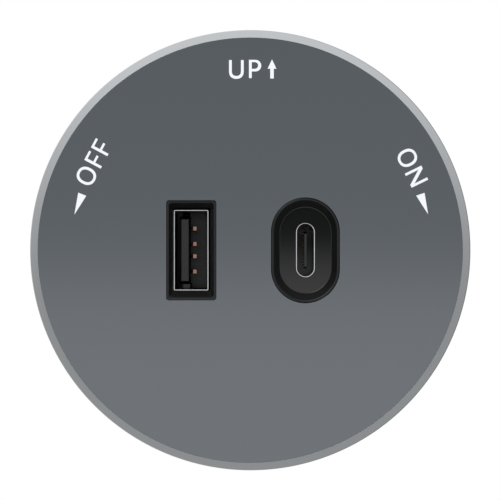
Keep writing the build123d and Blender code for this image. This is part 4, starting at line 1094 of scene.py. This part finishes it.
@dataclass
class UsbAPort:
    """The USB-A port: bezel, metal shell, insulator with its tongue, and four sprung contacts."""

    x: float = -9.48
    front_y: float = -32.0
    shell_y: float = -30.6
    back_y: float = -20.6
    board_y: float = -16.6
    rear_y: float = -28.3
    flange: Point = (-30.8, -29.6)
    bezel: Point = (8.01, 16.03)
    border: float = 0.42
    shell: Point = (5.6, 12.99)
    shell_x: float = -9.545
    walls: Triple = (0.155, 0.155, 0.14)
    tongue_x: float = -10.54
    tongue: Point = (1.82, 11.0)
    tip_y: float = -29.7
    rib: Point = (1.14, 0.75)
    rib_x: float = -10.3
    slot: Point = (1.2, 0.9)
    slot_middle: Point = (-10.62, 5.85)
    pin_z: tuple[float, ...] = (3.52, 1.02, -0.98, -3.48)
    pin_width: float = 0.62

    def frame(self, size: Point, corner: float) -> Rounded:
        """Give an outline round the port's middle."""
        return Rounded((self.x, 0.0), size, corner)

    def make_bezel(self) -> None:
        """Make the frame: a flat border, a fine lip, and walls that slope down to the shell."""
        outer = self.frame(self.bezel, 0.43)
        mouth = self.frame((self.bezel[0] - 2 * self.border, self.bezel[1] - 2 * self.border), 0.4)
        seat = Rounded((self.shell_x + 0.094, 0.13), (self.shell[0] + 0.268, self.shell[1] + 0.325), 0.3)
        lip = eased([(0, self.flange[0], 0), (0, -31.97, 0.1), (-0.3, self.front_y, 0)])[:-1]
        rings = [outer.ring(0, self.rear_y), *outer.rings(lip)]
        rings += mouth.rings([(0.12, -32.0), (0.07, -31.985), (0.02, -31.94), (0.0, -31.9)])
        rings += mouth.rings([(0.0, -31.8), (0.06, -31.7), (0.06, self.rear_y)])
        blank = Blank()
        blank.pipe(rings)
        funnel = Blank()
        walls = mouth.rings([(0.05, self.rear_y), (0.05, -31.82), (0.0, -31.88)])
        funnel.pipe([*walls, seat.ring(0.02, -30.62), seat.ring(0, -30.55), seat.ring(0, self.rear_y)])
        # The sloping walls wear a darker, less shiny copy of the frame's plastic: painted shade
        slopes = weighted(funnel.finish("usb_a_funnel", "funnel_plastic_painted_shade"))
        install(slopes, "satin_black_plastic")
        wide = self.frame((self.bezel[0] + 2.3, self.bezel[1] + 2.3), 0.3)
        outside, inside = ([form.ring(0, y) for y in self.flange] for form in (wide, outer))
        install_frame("usb_a", blank, outside, inside)

    def hollow(self) -> Rounded:
        """Give the outline of the shell's inside.

        Returns:
            The outline, inside the shell's walls.
        """
        left, right, ends = self.walls
        middle = (self.shell_x + (left - right) / 2, 0.0)
        return Rounded(middle, (self.shell[0] - left - right, self.shell[1] - 2 * ends), 0.08)

    def make_shell(self) -> None:
        """Make the folded metal shell, with its mouth's edge rounded."""
        outer, hollow = Rounded((self.shell_x, 0.0), self.shell, 0.22), self.hollow()
        edge = self.shell_y + 0.03
        rings = outer.rings([(0, self.board_y), (0, edge), (-0.02, self.shell_y)])
        rings += hollow.rings([(0.02, self.shell_y), (0, edge), (0, self.board_y)])
        blank = Blank()
        blank.band(rings, wrap=True)
        shell = blank.finish("dressed_usb_a_shell", "nickel_steel")
        install(weighted(shell), "nickel_steel", "usb_a_shell")

    def make_insulator(self) -> None:
        """Make the insulator: a rear block with its slot, a collar in the shell, and the tongue with rib and foot."""
        block = self.hollow()
        slot = Rounded(self.slot_middle, self.slot, 0.05, 3)
        blank = Blank()
        rings = block.rings([(-0.01, self.board_y), (-0.01, self.back_y + 0.03), (-0.04, self.back_y)])
        sides = slot.rings([(0, self.back_y), (0, self.back_y + 1.2), (-0.4, self.back_y + 3.9)])
        blank.band(rings)
        blank.band(sides)
        blank.cap(rings[0])
        blank.cap(rings[-1], [sides[0]])
        blank.cap(sides[-1])
        # The rear block wears a darker copy of the tongue's nylon: painted shade deep in the port
        rear = weighted(blank.finish("dressed_usb_a_insulator", "flat_nylon_painted_shade"))
        install(rear, "port_plastic", "usb_a_insulator")
        blank = Blank()
        collar = [(-0.01, self.back_y + 0.3), (-0.01, self.shell_y + 0.5)]
        collar += [(-0.05, self.shell_y + 0.5), (-0.05, self.back_y + 0.3)]
        blank.band(block.rings(collar), wrap=True)
        stem = Rounded((self.tongue_x - 0.135, 0.0), (self.tongue[0] - 0.27, self.tongue[1]), 0.06, 3)
        face = Rounded((self.tongue_x - 0.02, 0.0), (1.13, 9.94), 0.05, 3)
        rings = stem.rings([(0, self.back_y + 0.5), (0, self.tip_y + 5.5)])
        rings += face.rings([(0.03, self.tip_y + 0.3), (0.02, self.tip_y + 0.02), (0, self.tip_y)])
        blank.plug(rings)
        rib = Rounded((self.rib_x, -(self.tongue[1] + self.rib[1]) / 2), self.rib, 0.05, 3)
        blank.plug(rib.rings([(0, self.back_y + 0.5), (0, -29.27), (-0.03, -29.3)]))
        foot = Rounded((self.tongue_x - 1.22, 0.0), (0.7, 12.4), 0.05, 3)
        blank.plug(foot.rings([(0, self.back_y + 0.5), (0, self.back_y - 0.05)]))
        install(weighted(blank.finish("usb_a_tongue", "port_plastic")), "port_plastic")

    def make_contacts(self, repeater: SpotRepeater) -> None:
        """Make one sprung contact and repeat it down the tongue.

        Args:
            repeater: What sets the shape on its places.
        """
        thick = 0.22
        bends = [(0.0, self.board_y, 0), (0.0, -22.3, 0), (0.51, -22.48, 0), (0.51, -28.0, 0.02), (1.03, -28.0, 0)]
        line = eased(bends, steps=5)
        spots = [Vector(point) for point in line]
        rows = []
        for index, spot in enumerate(spots):
            into = (spot - spots[index - 1]).normalized() if index else (spots[1] - spot).normalized()
            onward = (spots[index + 1] - spot).normalized() if index < len(spots) - 1 else into
            ahead = (into + onward).normalized()
            side = Vector((-ahead.y, ahead.x)) * thick / 2 / max(ahead.dot(into), 0.6)
            corners = [(spot + side, 1), (spot + side, -1), (spot - side, -1), (spot - side, 1)]
            rows.append([Vector((c.x, c.y, up * self.pin_width / 2)) for c, up in corners])
        blank = Blank()
        blank.band(rows)
        for row in (rows[0], rows[-1]):
            blank.mesh.faces.new([blank.mesh.verts.new(point) for point in row])
        pin = blank.finish("usb_a_pin", "phosphor_bronze")
        root_x = self.tongue_x + self.tongue[0] / 2 - 0.27 + thick / 2 + 0.02
        places = [(root_x, 0.0, z) for z in self.pin_z]
        pins = repeater.repeat("dressed_usb_a_contacts", pin, places, "phosphor_bronze")
        install(pins, "phosphor_bronze", "usb_a_contacts")


@dataclass
class UsbCPort:
    """The USB-C port: bezel with its recessed floor, metal shell, tongue and gold contacts."""

    x: float = 8.93
    floor_y: float = -30.6
    back_y: float = -24.4
    board_y: float = -16.6
    rear_y: float = -28.3
    flange: Point = (-30.8, -29.6)
    bezel: Point = (11.01, 16.95)
    bezel_middle: Point = (8.865, -0.015)
    border: float = 0.45
    floor: Point = (8.36, 13.98)
    shell: Point = (3.055, 8.765)
    shell_middle: Point = (8.906, 0.008)
    hollow: Point = (2.745, 8.52)
    hollow_middle: Point = (8.903, 0.025)
    tongue: Point = (0.52, 5.97)
    tongue_x: float = 8.95
    nose: Point = (0.4, 5.4)
    tip_y: float = -29.7
    pins: int = 12
    pin_pitch: float = 0.48

    def tube(self, size: Point, middle: Point) -> Rounded:
        """Give an upright slot round a middle."""
        return Rounded(middle, size, size[0] / 2, 20, 4)

    def make_bezel(self) -> None:
        """Make the frame: a rolled border, a steep dark slope, and a flat floor with an eased edge."""
        outer, floor = self.tube(self.bezel, self.bezel_middle), self.tube(self.floor, (self.x, 0.0))
        hole = self.tube(self.shell, self.shell_middle)
        border = self.border
        rings = outer.rings([(0, self.rear_y), (0, self.flange[0])])
        roll = [(0, -31.84), (-0.05, -31.89), (-0.11, -31.935), (-0.17, -31.965), (-0.24, -31.98), (-0.3, -31.97)]
        roll += [(-0.36, -31.94), (-0.41, -31.9), (-border, -31.84)]
        rings += outer.rings(roll)
        rings += outer.rings([(-border, -31.78), (0.06 - border, -31.7), (0.06 - border, self.rear_y)])
        blank = Blank()
        blank.pipe(rings)
        funnel = Blank()
        rings = outer.rings([(0.05 - border, self.rear_y), (0.05 - border, -31.77), (-border, -31.83)])
        rings += floor.rings([(0.1, -30.78), (0.04, -30.7), (0.03, -30.3)])
        rings += hole.rings([(0.3, -30.3), (0.3, self.rear_y)])
        funnel.pipe(rings)
        # The sloping walls wear a darker, less shiny copy of the frame's plastic: painted shade
        slopes = weighted(funnel.finish("usb_c_funnel", "funnel_plastic_painted_shade"))
        install(slopes, "satin_black_plastic")
        tray = Blank()
        lip = [(0.03, -30.2), (0.03, -30.646), (0.0, -30.646), (-0.01, -30.64), (-0.06, -30.61)]
        lip.append((-0.075, self.floor_y))
        rings = floor.rings(lip)
        rings += hole.rings([(0.06, self.floor_y), (0.04, self.floor_y + 0.04), (0.04, -30.2)])
        tray.band(rings, wrap=True)
        # The floor wears a darker, shinier copy of the frame's plastic: painted shade and painted sheen
        install(weighted(tray.finish("usb_c_port_floor", "floor_plastic_painted_shade_and_sheen")), "satin_black_plastic")
        outside, inside = ([outer.ring(grow, y) for y in self.flange] for grow in (1.15, 0.0))
        install_frame("usb_c", blank, outside, inside)

    def make_shell(self) -> None:
        """Make the deep-drawn shell, with its mouth's edge rounded."""
        outer, inner = self.tube(self.shell, self.shell_middle), self.tube(self.hollow, self.hollow_middle)
        rings = outer.rings([(0, self.board_y), (0, -30.63), (-0.02, -30.66)])
        rings += inner.rings([(0.02, -30.66), (0, -30.63), (0, self.board_y)])
        blank = Blank()
        blank.band(rings, wrap=True)
        shell = blank.finish("dressed_usb_c_shell", "nickel_steel")
        install(weighted(shell), "nickel_steel", "usb_c_shell")

    def make_insulator(self) -> None:
        """Make the insulator: a rear block, a collar in the shell, and the thin tongue with its narrower nose."""
        block = self.tube((self.hollow[0] - 0.02, self.hollow[1] - 0.02), self.hollow_middle)
        blank = Blank()
        blank.plug(block.rings([(0, self.board_y), (0, self.back_y + 0.05), (-0.05, self.back_y)]))
        # The rear block wears a darker copy of the tongue's nylon: painted shade deep in the port
        rear = weighted(blank.finish("dressed_usb_c_insulator", "domed_nylon_painted_shade"))
        stem = Rounded((self.tongue_x, 0.0), self.tongue, 0.08, 3)
        nose = Rounded((self.x + 0.01, 0.0), self.nose, 0.04, 3)
        tongue = Blank()
        collar = [(0, self.back_y + 0.3), (0, self.floor_y + 0.5)]
        collar += [(-0.04, self.floor_y + 0.5), (-0.04, self.back_y + 0.3)]
        tongue.band(block.rings(collar), wrap=True)
        rings = stem.rings([(0, self.back_y + 0.5), (0, self.tip_y + 1.6)])
        rings += nose.rings([(0, self.tip_y + 0.1), (-0.02, self.tip_y)])
        tongue.plug(rings)
        install(rear, "port_plastic", "usb_c_insulator")
        install(weighted(tongue.finish("usb_c_tongue", "polished_nylon")), "port_plastic")

    def make_contacts(self, repeater: SpotRepeater) -> None:
        """Make one gold contact and repeat it in a row on each face of the tongue.

        Args:
            repeater: What sets the shape on its places.
        """
        bar = Rounded((0.0, 0.0), (0.045, 0.24), 0.02, 3)
        tip = Rounded((0.0, 0.0), (0.041, 0.2), 0.02, 3)
        blank = Blank()
        blank.plug([*bar.rings([(0, self.back_y + 0.3), (0, self.tip_y + 4.6)]), tip.ring(0, self.tip_y + 4.3)])
        pin = blank.finish("usb_c_pin", "gold_plate")
        places = [
            (self.tongue_x + side * self.tongue[0] / 2, 0.0, (row - (self.pins - 1) / 2) * self.pin_pitch)
            for side in (1, -1)
            for row in range(self.pins)
        ]
        pins = repeater.repeat("dressed_usb_c_contacts", pin, places, "gold_plate")
        install(pins, "gold_plate", "usb_c_contacts")


@dataclass
class CrossHeadScrews:
    """One set of equal screws, with their heads to the rear."""

    node: str
    spots: Sequence[Point]
    seat_y: float
    shank_radius: float
    shank_length: float
    head_radius: float
    head_height: float
    seed: int

    def make(self, repeater: SpotRepeater) -> None:
        """Make one screw with a domed head and a tapering cross recess, and repeat it.

        Args:
            repeater: What sets the shape on its places.
        """
        head, shank = disc(self.head_radius, steps=9), disc(self.shank_radius, steps=9)
        top = self.head_height
        recess = Cross((0.0, 0.0), self.head_radius * 0.62, self.head_radius * 0.2)
        rings = shank.rings([(-0.35, -self.shank_length), (0, -self.shank_length + 0.5), (0, 0)])
        rings += head.rings([(-0.08, 0), (0, 0.08), (0, top * 0.45)])
        rings += head.rings([(-0.16 * self.head_radius, top * 0.82), (-0.36 * self.head_radius, top)])
        blank = Blank()
        blank.band(rings)
        blank.cap(rings[0])
        walls = [recess.ring(0, top), recess.ring(-0.12 * self.head_radius * 0.5, top - 0.5)]
        blank.band(walls)
        blank.cap(rings[-1], [walls[0]])
        blank.cap(walls[-1])
        screw = weighted(blank.finish(f"{self.node}_shape", "zinc_steel"))
        places = [(x, self.seat_y, z) for x, z in self.spots]
        screws = repeater.repeat(f"dressed_{self.node}", screw, places, "zinc_steel", math.tau, self.seed)
        install(screws, "zinc_steel", self.node)


def on_circle(radius: float, angles: Iterable[float] = (45, 135, 225, 315)) -> list[Point]:
    """Give points on a circle round the turning axis, at angles in degrees from +X towards +Z."""
    return [(radius * x, radius * z) for x, z in map(heading, angles)]


@dataclass
class RearSide:
    """What the wall side shows: the rear housing, the clamp ring, and the base that stays in the track."""

    shoulder: float = 35.3
    rear_radius: float = 33.2
    rear_y: float = -0.9
    clamp: Point = (19.3, 26.6)
    screw_circle: float = 29.8
    clamp_circle: float = 24.4
    seat_radius: float = 19.0
    recess_y: float = -2.5
    screw_seat_y: float = -3.4
    clamp_seat_y: float = -1.8
    groove: Point = (18.5, 17.3)
    groove_y: float = -1.0
    key: Point = (30.0, 12.6)
    bore: float = 4.66

    def make_housing(self) -> None:
        """Make the rear housing: its tapered wall, rear face, stepped recess and screw pockets."""
        blank = Blank()
        wall = [(33.3, -6.5, 0), (33.3, -11.0, 0.1), (self.shoulder, -11.0, 0.25), (self.shoulder, -5.0, 1.6)]
        wall += [(self.rear_radius, self.rear_y, 0.5), (30.0, self.rear_y, 0)]
        outside = turned(eased(wall, steps=6)[:-1], 56)
        blank.band(outside)
        blank.cap(outside[0])
        edge, deep = self.rear_y, self.recess_y
        step = [(29.0, edge, 0), (26.65, edge, 0.2), (26.65, deep, 0), (22.3, deep, 0), (22.3, -4.5, 0)]
        recess = turned(eased(step)[1:], 40)
        blank.band(recess)
        blank.cap(recess[-1])
        pockets = []
        for spot in on_circle(self.screw_circle):
            pocket = disc(2.35, spot, 9)
            rings = pocket.rings([(0.12, self.rear_y), (0.03, self.rear_y - 0.05)])
            rings += pocket.rings([(0, self.rear_y - 0.15), (0, self.screw_seat_y)])
            blank.band(rings)
            blank.cap(rings[-1])
            pockets.append(rings[0])
        blank.cap(outside[-1], [recess[0], *pockets])
        housing = weighted(blank.finish("dressed_rear_housing", "black_polycarbonate"))
        install(housing, "black_polycarbonate", "rear_housing")

    def make_clamp_ring(self) -> None:
        """Make the clamp ring with eased rims and a pocket for each screw."""
        blank = Blank()
        inner, outer = self.clamp
        out_path = eased([(0, self.recess_y, 0), (0, self.rear_y, 0.2), (-1, self.rear_y, 0)])[:-1]
        out_rings = [disc(outer, steps=48).ring(grow, y) for grow, y in out_path]
        in_rings = [disc(inner, steps=40).ring(-grow, y) for grow, y in out_path]
        blank.band(out_rings)
        blank.band(in_rings)
        fronts, rears = [], []
        for spot in on_circle(self.clamp_circle):
            hole = disc(1.1, spot, 8)
            rings = hole.rings([(0.88, self.rear_y), (0.8, self.rear_y - 0.08), (0.8, self.clamp_seat_y)])
            rings += hole.rings([(0, self.clamp_seat_y), (0, self.recess_y)])
            blank.band(rings)
            rears.append(rings[0])
            fronts.append(rings[-1])
        blank.cap(out_rings[-1], [in_rings[-1], *rears])
        blank.cap(out_rings[0], [in_rings[0], *fronts])
        ring = weighted(blank.finish("dressed_clamp_ring", "stainless_steel"))
        install(ring, "stainless_steel", "clamp_ring")

    def make_base(self) -> None:
        """Make the base disc: flange, seat with its gasket groove, and the key that fills the slot."""
        blank = Blank()
        side = [(21.0, -4.0, 0), (22.0, -4.0, 0.1), (22.0, -2.6, 0.1), (self.seat_radius, -2.6, 0)]
        side += [(self.seat_radius, 0.0, 0.2), (18.6, 0.0, 0)]
        outside = turned(eased(side)[1:-1], 40)
        blank.band(outside)
        groove_out, groove_in = (turned([(radius, 0.0), (radius, self.groove_y)], 40) for radius in self.groove)
        for rings in (groove_out, groove_in):
            blank.band(rings)
        blank.cap(outside[-1], [groove_out[0]])
        blank.cap(groove_out[1], [groove_in[1]])
        key = Rounded((0.0, 0.0), self.key, 2.0, 8)
        key_path = [(0.0, 0.0), (0.0, 4.05), (-0.12, 4.25), (-0.4, 4.5)]
        key_rings = key.rings(key_path)
        blank.band(key_rings)
        bore = [disc(self.bore, steps=16).ring(grow, y) for grow, y in ((0.15, 4.5), (0.0, 4.35), (0.0, -4.0))]
        blank.band(bore)
        blank.cap(groove_in[0], [key_rings[0]])
        blank.cap(key_rings[-1], [bore[0]])
        blank.cap(outside[0], [bore[-1]])
        base = weighted(blank.finish("dressed_base_disc", "black_polycarbonate"))
        install(base, "black_polycarbonate", "base_disc", body=BodyName.BASE)

    def make_gasket(self) -> None:
        """Make the rubber ring with its crowned seat."""
        deep, (outer, inner) = self.groove_y, self.groove
        path = [(17.9, deep, 0), (inner, deep, 0), (inner, 0.0, 0.3), (outer, 0.0, 0.3), (outer, deep, 0)]
        path.append(path[0])
        blank = Blank()
        blank.band(turned(eased(path, steps=5)[:-1], 40), wrap=True)
        gasket = blank.finish("dressed_seat_gasket", "black_rubber")
        install(gasket, "black_rubber", "seat_gasket", body=BodyName.BASE)


@dataclass
class ContactSprings:
    """The two coil springs behind the sprung contacts."""

    start_x: float = 7.345
    length: float = 5.91
    y: float = 10.7
    radius: float = 1.9
    wire: float = 0.225
    turns: float = 4.5
    anchor_x: float = 7.1
    pressed: float = 0.8125

    def make(self) -> None:
        """Wind both springs and put each in place of its CAD spring."""
        winder = CoilWinder()
        for pole, side in (("live", 1), ("neutral", -1)):
            start = (side * self.start_x, self.y, 0.0)
            size = (self.length, side, self.turns, self.radius, self.wire)
            spring = winder.wind(f"dressed_{pole}_spring", start, *size)
            install(spring, "spring_steel", f"{pole}_spring")
            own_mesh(spring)


# Light, floor and camera


@dataclass
class Studio:
    """A plain pale room: an even sky, a soft lamp above, a pale floor and the photograph's camera."""

    view_width: float = 80.32
    distance: float = 300.0
    face_y: float = -32.0
    floor_z: float = -95.0
    floor_radius: float = 1500.0
    ceiling: float = 1.3
    sides: float = 0.62
    front_above: float = 0.69
    front_high: float = 0.03
    front_below: float = 1.05
    horizon: float = -0.0142
    fill: float = 0.76
    sky_tilt: Triple = (-0.02, 0.0, 1.0)
    sky_span: Point = (-0.3, 1.12)
    step_width: float = 0.02
    dusk_span: Point = (0.115, 0.24)
    facing_span: Point = (-0.55, -0.8)
    side_slope: float = -2.9
    side_limits: Point = (0.15, 1.35)
    lamp_size: float = 0.4
    lamp_watts: float = 1.1
    lamp_place: Triple = (-0.27, -0.47, 0.42)
    lamp_aim: Triple = (0.0, -0.02, 0.0)
    floor_fade: Point = (0.1, 0.24)
    film: float = 36.0
    camera_shift: Point = (-0.04, 0.03)

    def light_world(self) -> None:
        """Make the sky: white behind the object, brighter above it, and with a soft step at eye level."""
        world = bpy.data.worlds.new("pale_room")
        world.use_nodes = True
        world.cycles.sampling_method = "NONE"
        tree = world.node_tree
        tree.nodes.clear()
        way = add_node(tree, "ShaderNodeTexCoord").outputs["Generated"]
        parts = add_node(tree, "ShaderNodeSeparateXYZ", {0: way}).outputs
        upward = add_node(tree, "ShaderNodeVectorMath", {0: way, 1: self.sky_tilt}, operation="DOT_PRODUCT")
        low, high = self.horizon - self.step_width, self.horizon + self.step_width
        spans = (
            (upward.outputs["Value"], *self.sky_span, self.sides, self.ceiling),
            (parts["Z"], low, high, 0.0, 1.0),
            (parts["Z"], *self.dusk_span, self.front_above, self.front_high),
            (parts["Y"], *self.facing_span, 0.0, 1.0),
        )
        keys = ("Value", "From Min", "From Max", "To Min", "To Max")
        lift, above, dusk, facing = (
            add_node(tree, "ShaderNodeMapRange", dict(zip(keys, span)), interpolation_type="SMOOTHSTEP")
            for span in spans
        )
        front = add_node(tree, "ShaderNodeMix", {0: above, 2: self.front_below, 3: dusk})
        mirror = add_node(tree, "ShaderNodeMix", {0: facing, 2: lift, 3: front})
        behind = add_node(tree, "ShaderNodeMath", {0: parts["Y"], 1: 0.0}, operation="MAXIMUM")
        slant = add_node(tree, "ShaderNodeMath", {0: parts["X"], 1: behind}, operation="MULTIPLY")
        sloped = {0: slant, 1: self.side_slope, 2: 1.0}
        shade = add_node(tree, "ShaderNodeMath", sloped, operation="MULTIPLY_ADD")
        least, most = self.side_limits
        held = add_node(tree, "ShaderNodeClamp", {"Value": shade, "Min": least, "Max": most})
        shaded = add_node(tree, "ShaderNodeMath", {0: mirror, 1: held}, operation="MULTIPLY")
        path = add_node(tree, "ShaderNodeLightPath").outputs
        rays = {0: path["Is Glossy Ray"], 1: path["Is Transmission Ray"]}
        shiny = add_node(tree, "ShaderNodeMath", rays, operation="MAXIMUM")
        lit = add_node(tree, "ShaderNodeMix", {0: shiny, 2: self.fill, 3: shaded})
        seen = add_node(tree, "ShaderNodeMix", {0: path["Is Camera Ray"], 2: lit, 3: 1.0})
        white, tints = linear("#ffffff"), {0: above, 6: linear("#fffdfd"), 7: linear("#f9fbff")}
        tint = add_node(tree, "ShaderNodeMix", tints, data_type="RGBA").outputs[2]
        hue = add_node(tree, "ShaderNodeMix", {0: facing, 6: white, 7: tint}, data_type="RGBA").outputs[2]
        ends = {0: path["Is Camera Ray"], 6: hue, 7: white}
        plain = add_node(tree, "ShaderNodeMix", ends, data_type="RGBA")
        glow = add_node(tree, "ShaderNodeBackground", {"Color": plain.outputs[2], "Strength": seen})
        add_node(tree, "ShaderNodeOutputWorld", {"Surface": glow})
        bpy.context.scene.world = world

    def hang_lamp(self) -> None:
        """Hang one soft lamp above, in front and slightly to the left."""
        data = bpy.data.lights.new("soft_lamp", "AREA")
        data.shape = "SQUARE"
        data.size = self.lamp_size
        data.energy = self.lamp_watts
        lamp = linked("soft_lamp", data)
        lamp.location = self.lamp_place
        lamp.rotation_euler = (Vector(self.lamp_aim) - lamp.location).to_track_quat("-Z", "Y").to_euler()

    def lay_floor(self) -> None:
        """Lay a pale floor that takes the shadow near the object and fades into the white far off."""
        material = bpy.data.materials.new("pale_floor")
        material.use_nodes = True
        material.cycles.emission_sampling = "NONE"
        tree = material.node_tree
        tree.nodes.clear()
        place = add_node(tree, "ShaderNodeTexCoord").outputs["Object"]
        reach = add_node(tree, "ShaderNodeVectorMath", {0: place}, operation="LENGTH")
        start, end = self.floor_fade
        span = {"Value": reach.outputs["Value"], "From Min": start, "From Max": end}
        fade = add_node(tree, "ShaderNodeMapRange", span, interpolation_type="SMOOTHSTEP")
        matt = add_node(tree, "ShaderNodeBsdfDiffuse", {"Color": linear("#f4f4f3")})
        white = add_node(tree, "ShaderNodeEmission", {"Strength": 1.0})
        shown = add_node(tree, "ShaderNodeMixShader", {0: fade, 1: matt, 2: white})
        clear = add_node(tree, "ShaderNodeBsdfTransparent")
        path = add_node(tree, "ShaderNodeLightPath").outputs
        both = add_node(tree, "ShaderNodeMixShader", {0: path["Is Glossy Ray"], 1: shown, 2: clear})
        add_node(tree, "ShaderNodeOutputMaterial", {"Surface": both})
        blank = Blank()
        rim = [Vector((p.x, p.z, self.floor_z)) for p in disc(self.floor_radius, steps=16).ring(0, 0)]
        blank.mesh.faces.new([blank.mesh.verts.new(point) for point in rim])
        floor = blank.finish("floor", material)

    def place_camera(self) -> None:
        """Place the camera square to the face, so that the frame matches the photograph's."""
        data = bpy.data.cameras.new("front_camera")
        data.sensor_width = self.film
        data.lens = self.film * self.distance / self.view_width
        data.clip_start = 0.005
        data.clip_end = 20.0
        camera = linked("front_camera", data)
        across, up = self.camera_shift
        camera.location = (across * MM, (self.face_y - self.distance) * MM, up * MM)
        camera.rotation_euler = (math.pi / 2, 0.0, 0.0)
        bpy.context.scene.camera = camera


def finish_nodes(frame: Mapping[str, object]) -> None:
    """Give every CAD node the material of its slot in the record.

    Args:
        frame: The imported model, as it was loaded.
    """
    slots = {part["node"]: part["material_slot"] for part in frame["record"]["subparts"]}
    for name, node in frame["nodes"].items():
        for holder in node.material_slots:
            holder.material = FINISHES[slots[name]].build()
        LOG.info("finished node %s in %s", name, slots[name])


def main() -> None:
    """Build the dressed model and the room that it is seen in."""
    logging.basicConfig(level=logging.INFO, format="%(message)s")
    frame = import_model()
    bpy.context.scene.view_settings.view_transform = "Standard"
    finish_nodes(frame)

    face = FacePlate()
    face.make_plate()
    face.make_ring()
    FunctionMarks().make()

    repeater = SpotRepeater()
    for port in (UsbAPort(), UsbCPort()):
        port.make_bezel()
        port.make_shell()
        port.make_insulator()
        port.make_contacts(repeater)

    rear = RearSide()
    for screws in (
        CrossHeadScrews("housing_screws", on_circle(rear.screw_circle), rear.screw_seat_y, 1.2, 12.0, 2.2, 1.7, 3),
        CrossHeadScrews("clamp_screws", on_circle(rear.clamp_circle), rear.clamp_seat_y, 0.95, 4.1, 1.75, 0.8, 5),
        CrossHeadScrews("stem_cap_screws", ((4.4, 3.9), (-4.4, -3.9)), 17.1, 0.8, 6.5, 1.5, 0.8, 7),
        CrossHeadScrews("board_screws", on_circle(28.0, (0, 180, 270)), -15.0, 1.0, 6.0, 1.9, 1.4, 9),
    ):
        screws.make(repeater)
    rear.make_housing()
    rear.make_clamp_ring()
    rear.make_base()
    rear.make_gasket()
    ContactSprings().make()

    studio = Studio()
    studio.light_world()
    studio.hang_lamp()
    studio.lay_floor()
    studio.place_camera()


if __name__ == "__main__":
    main()
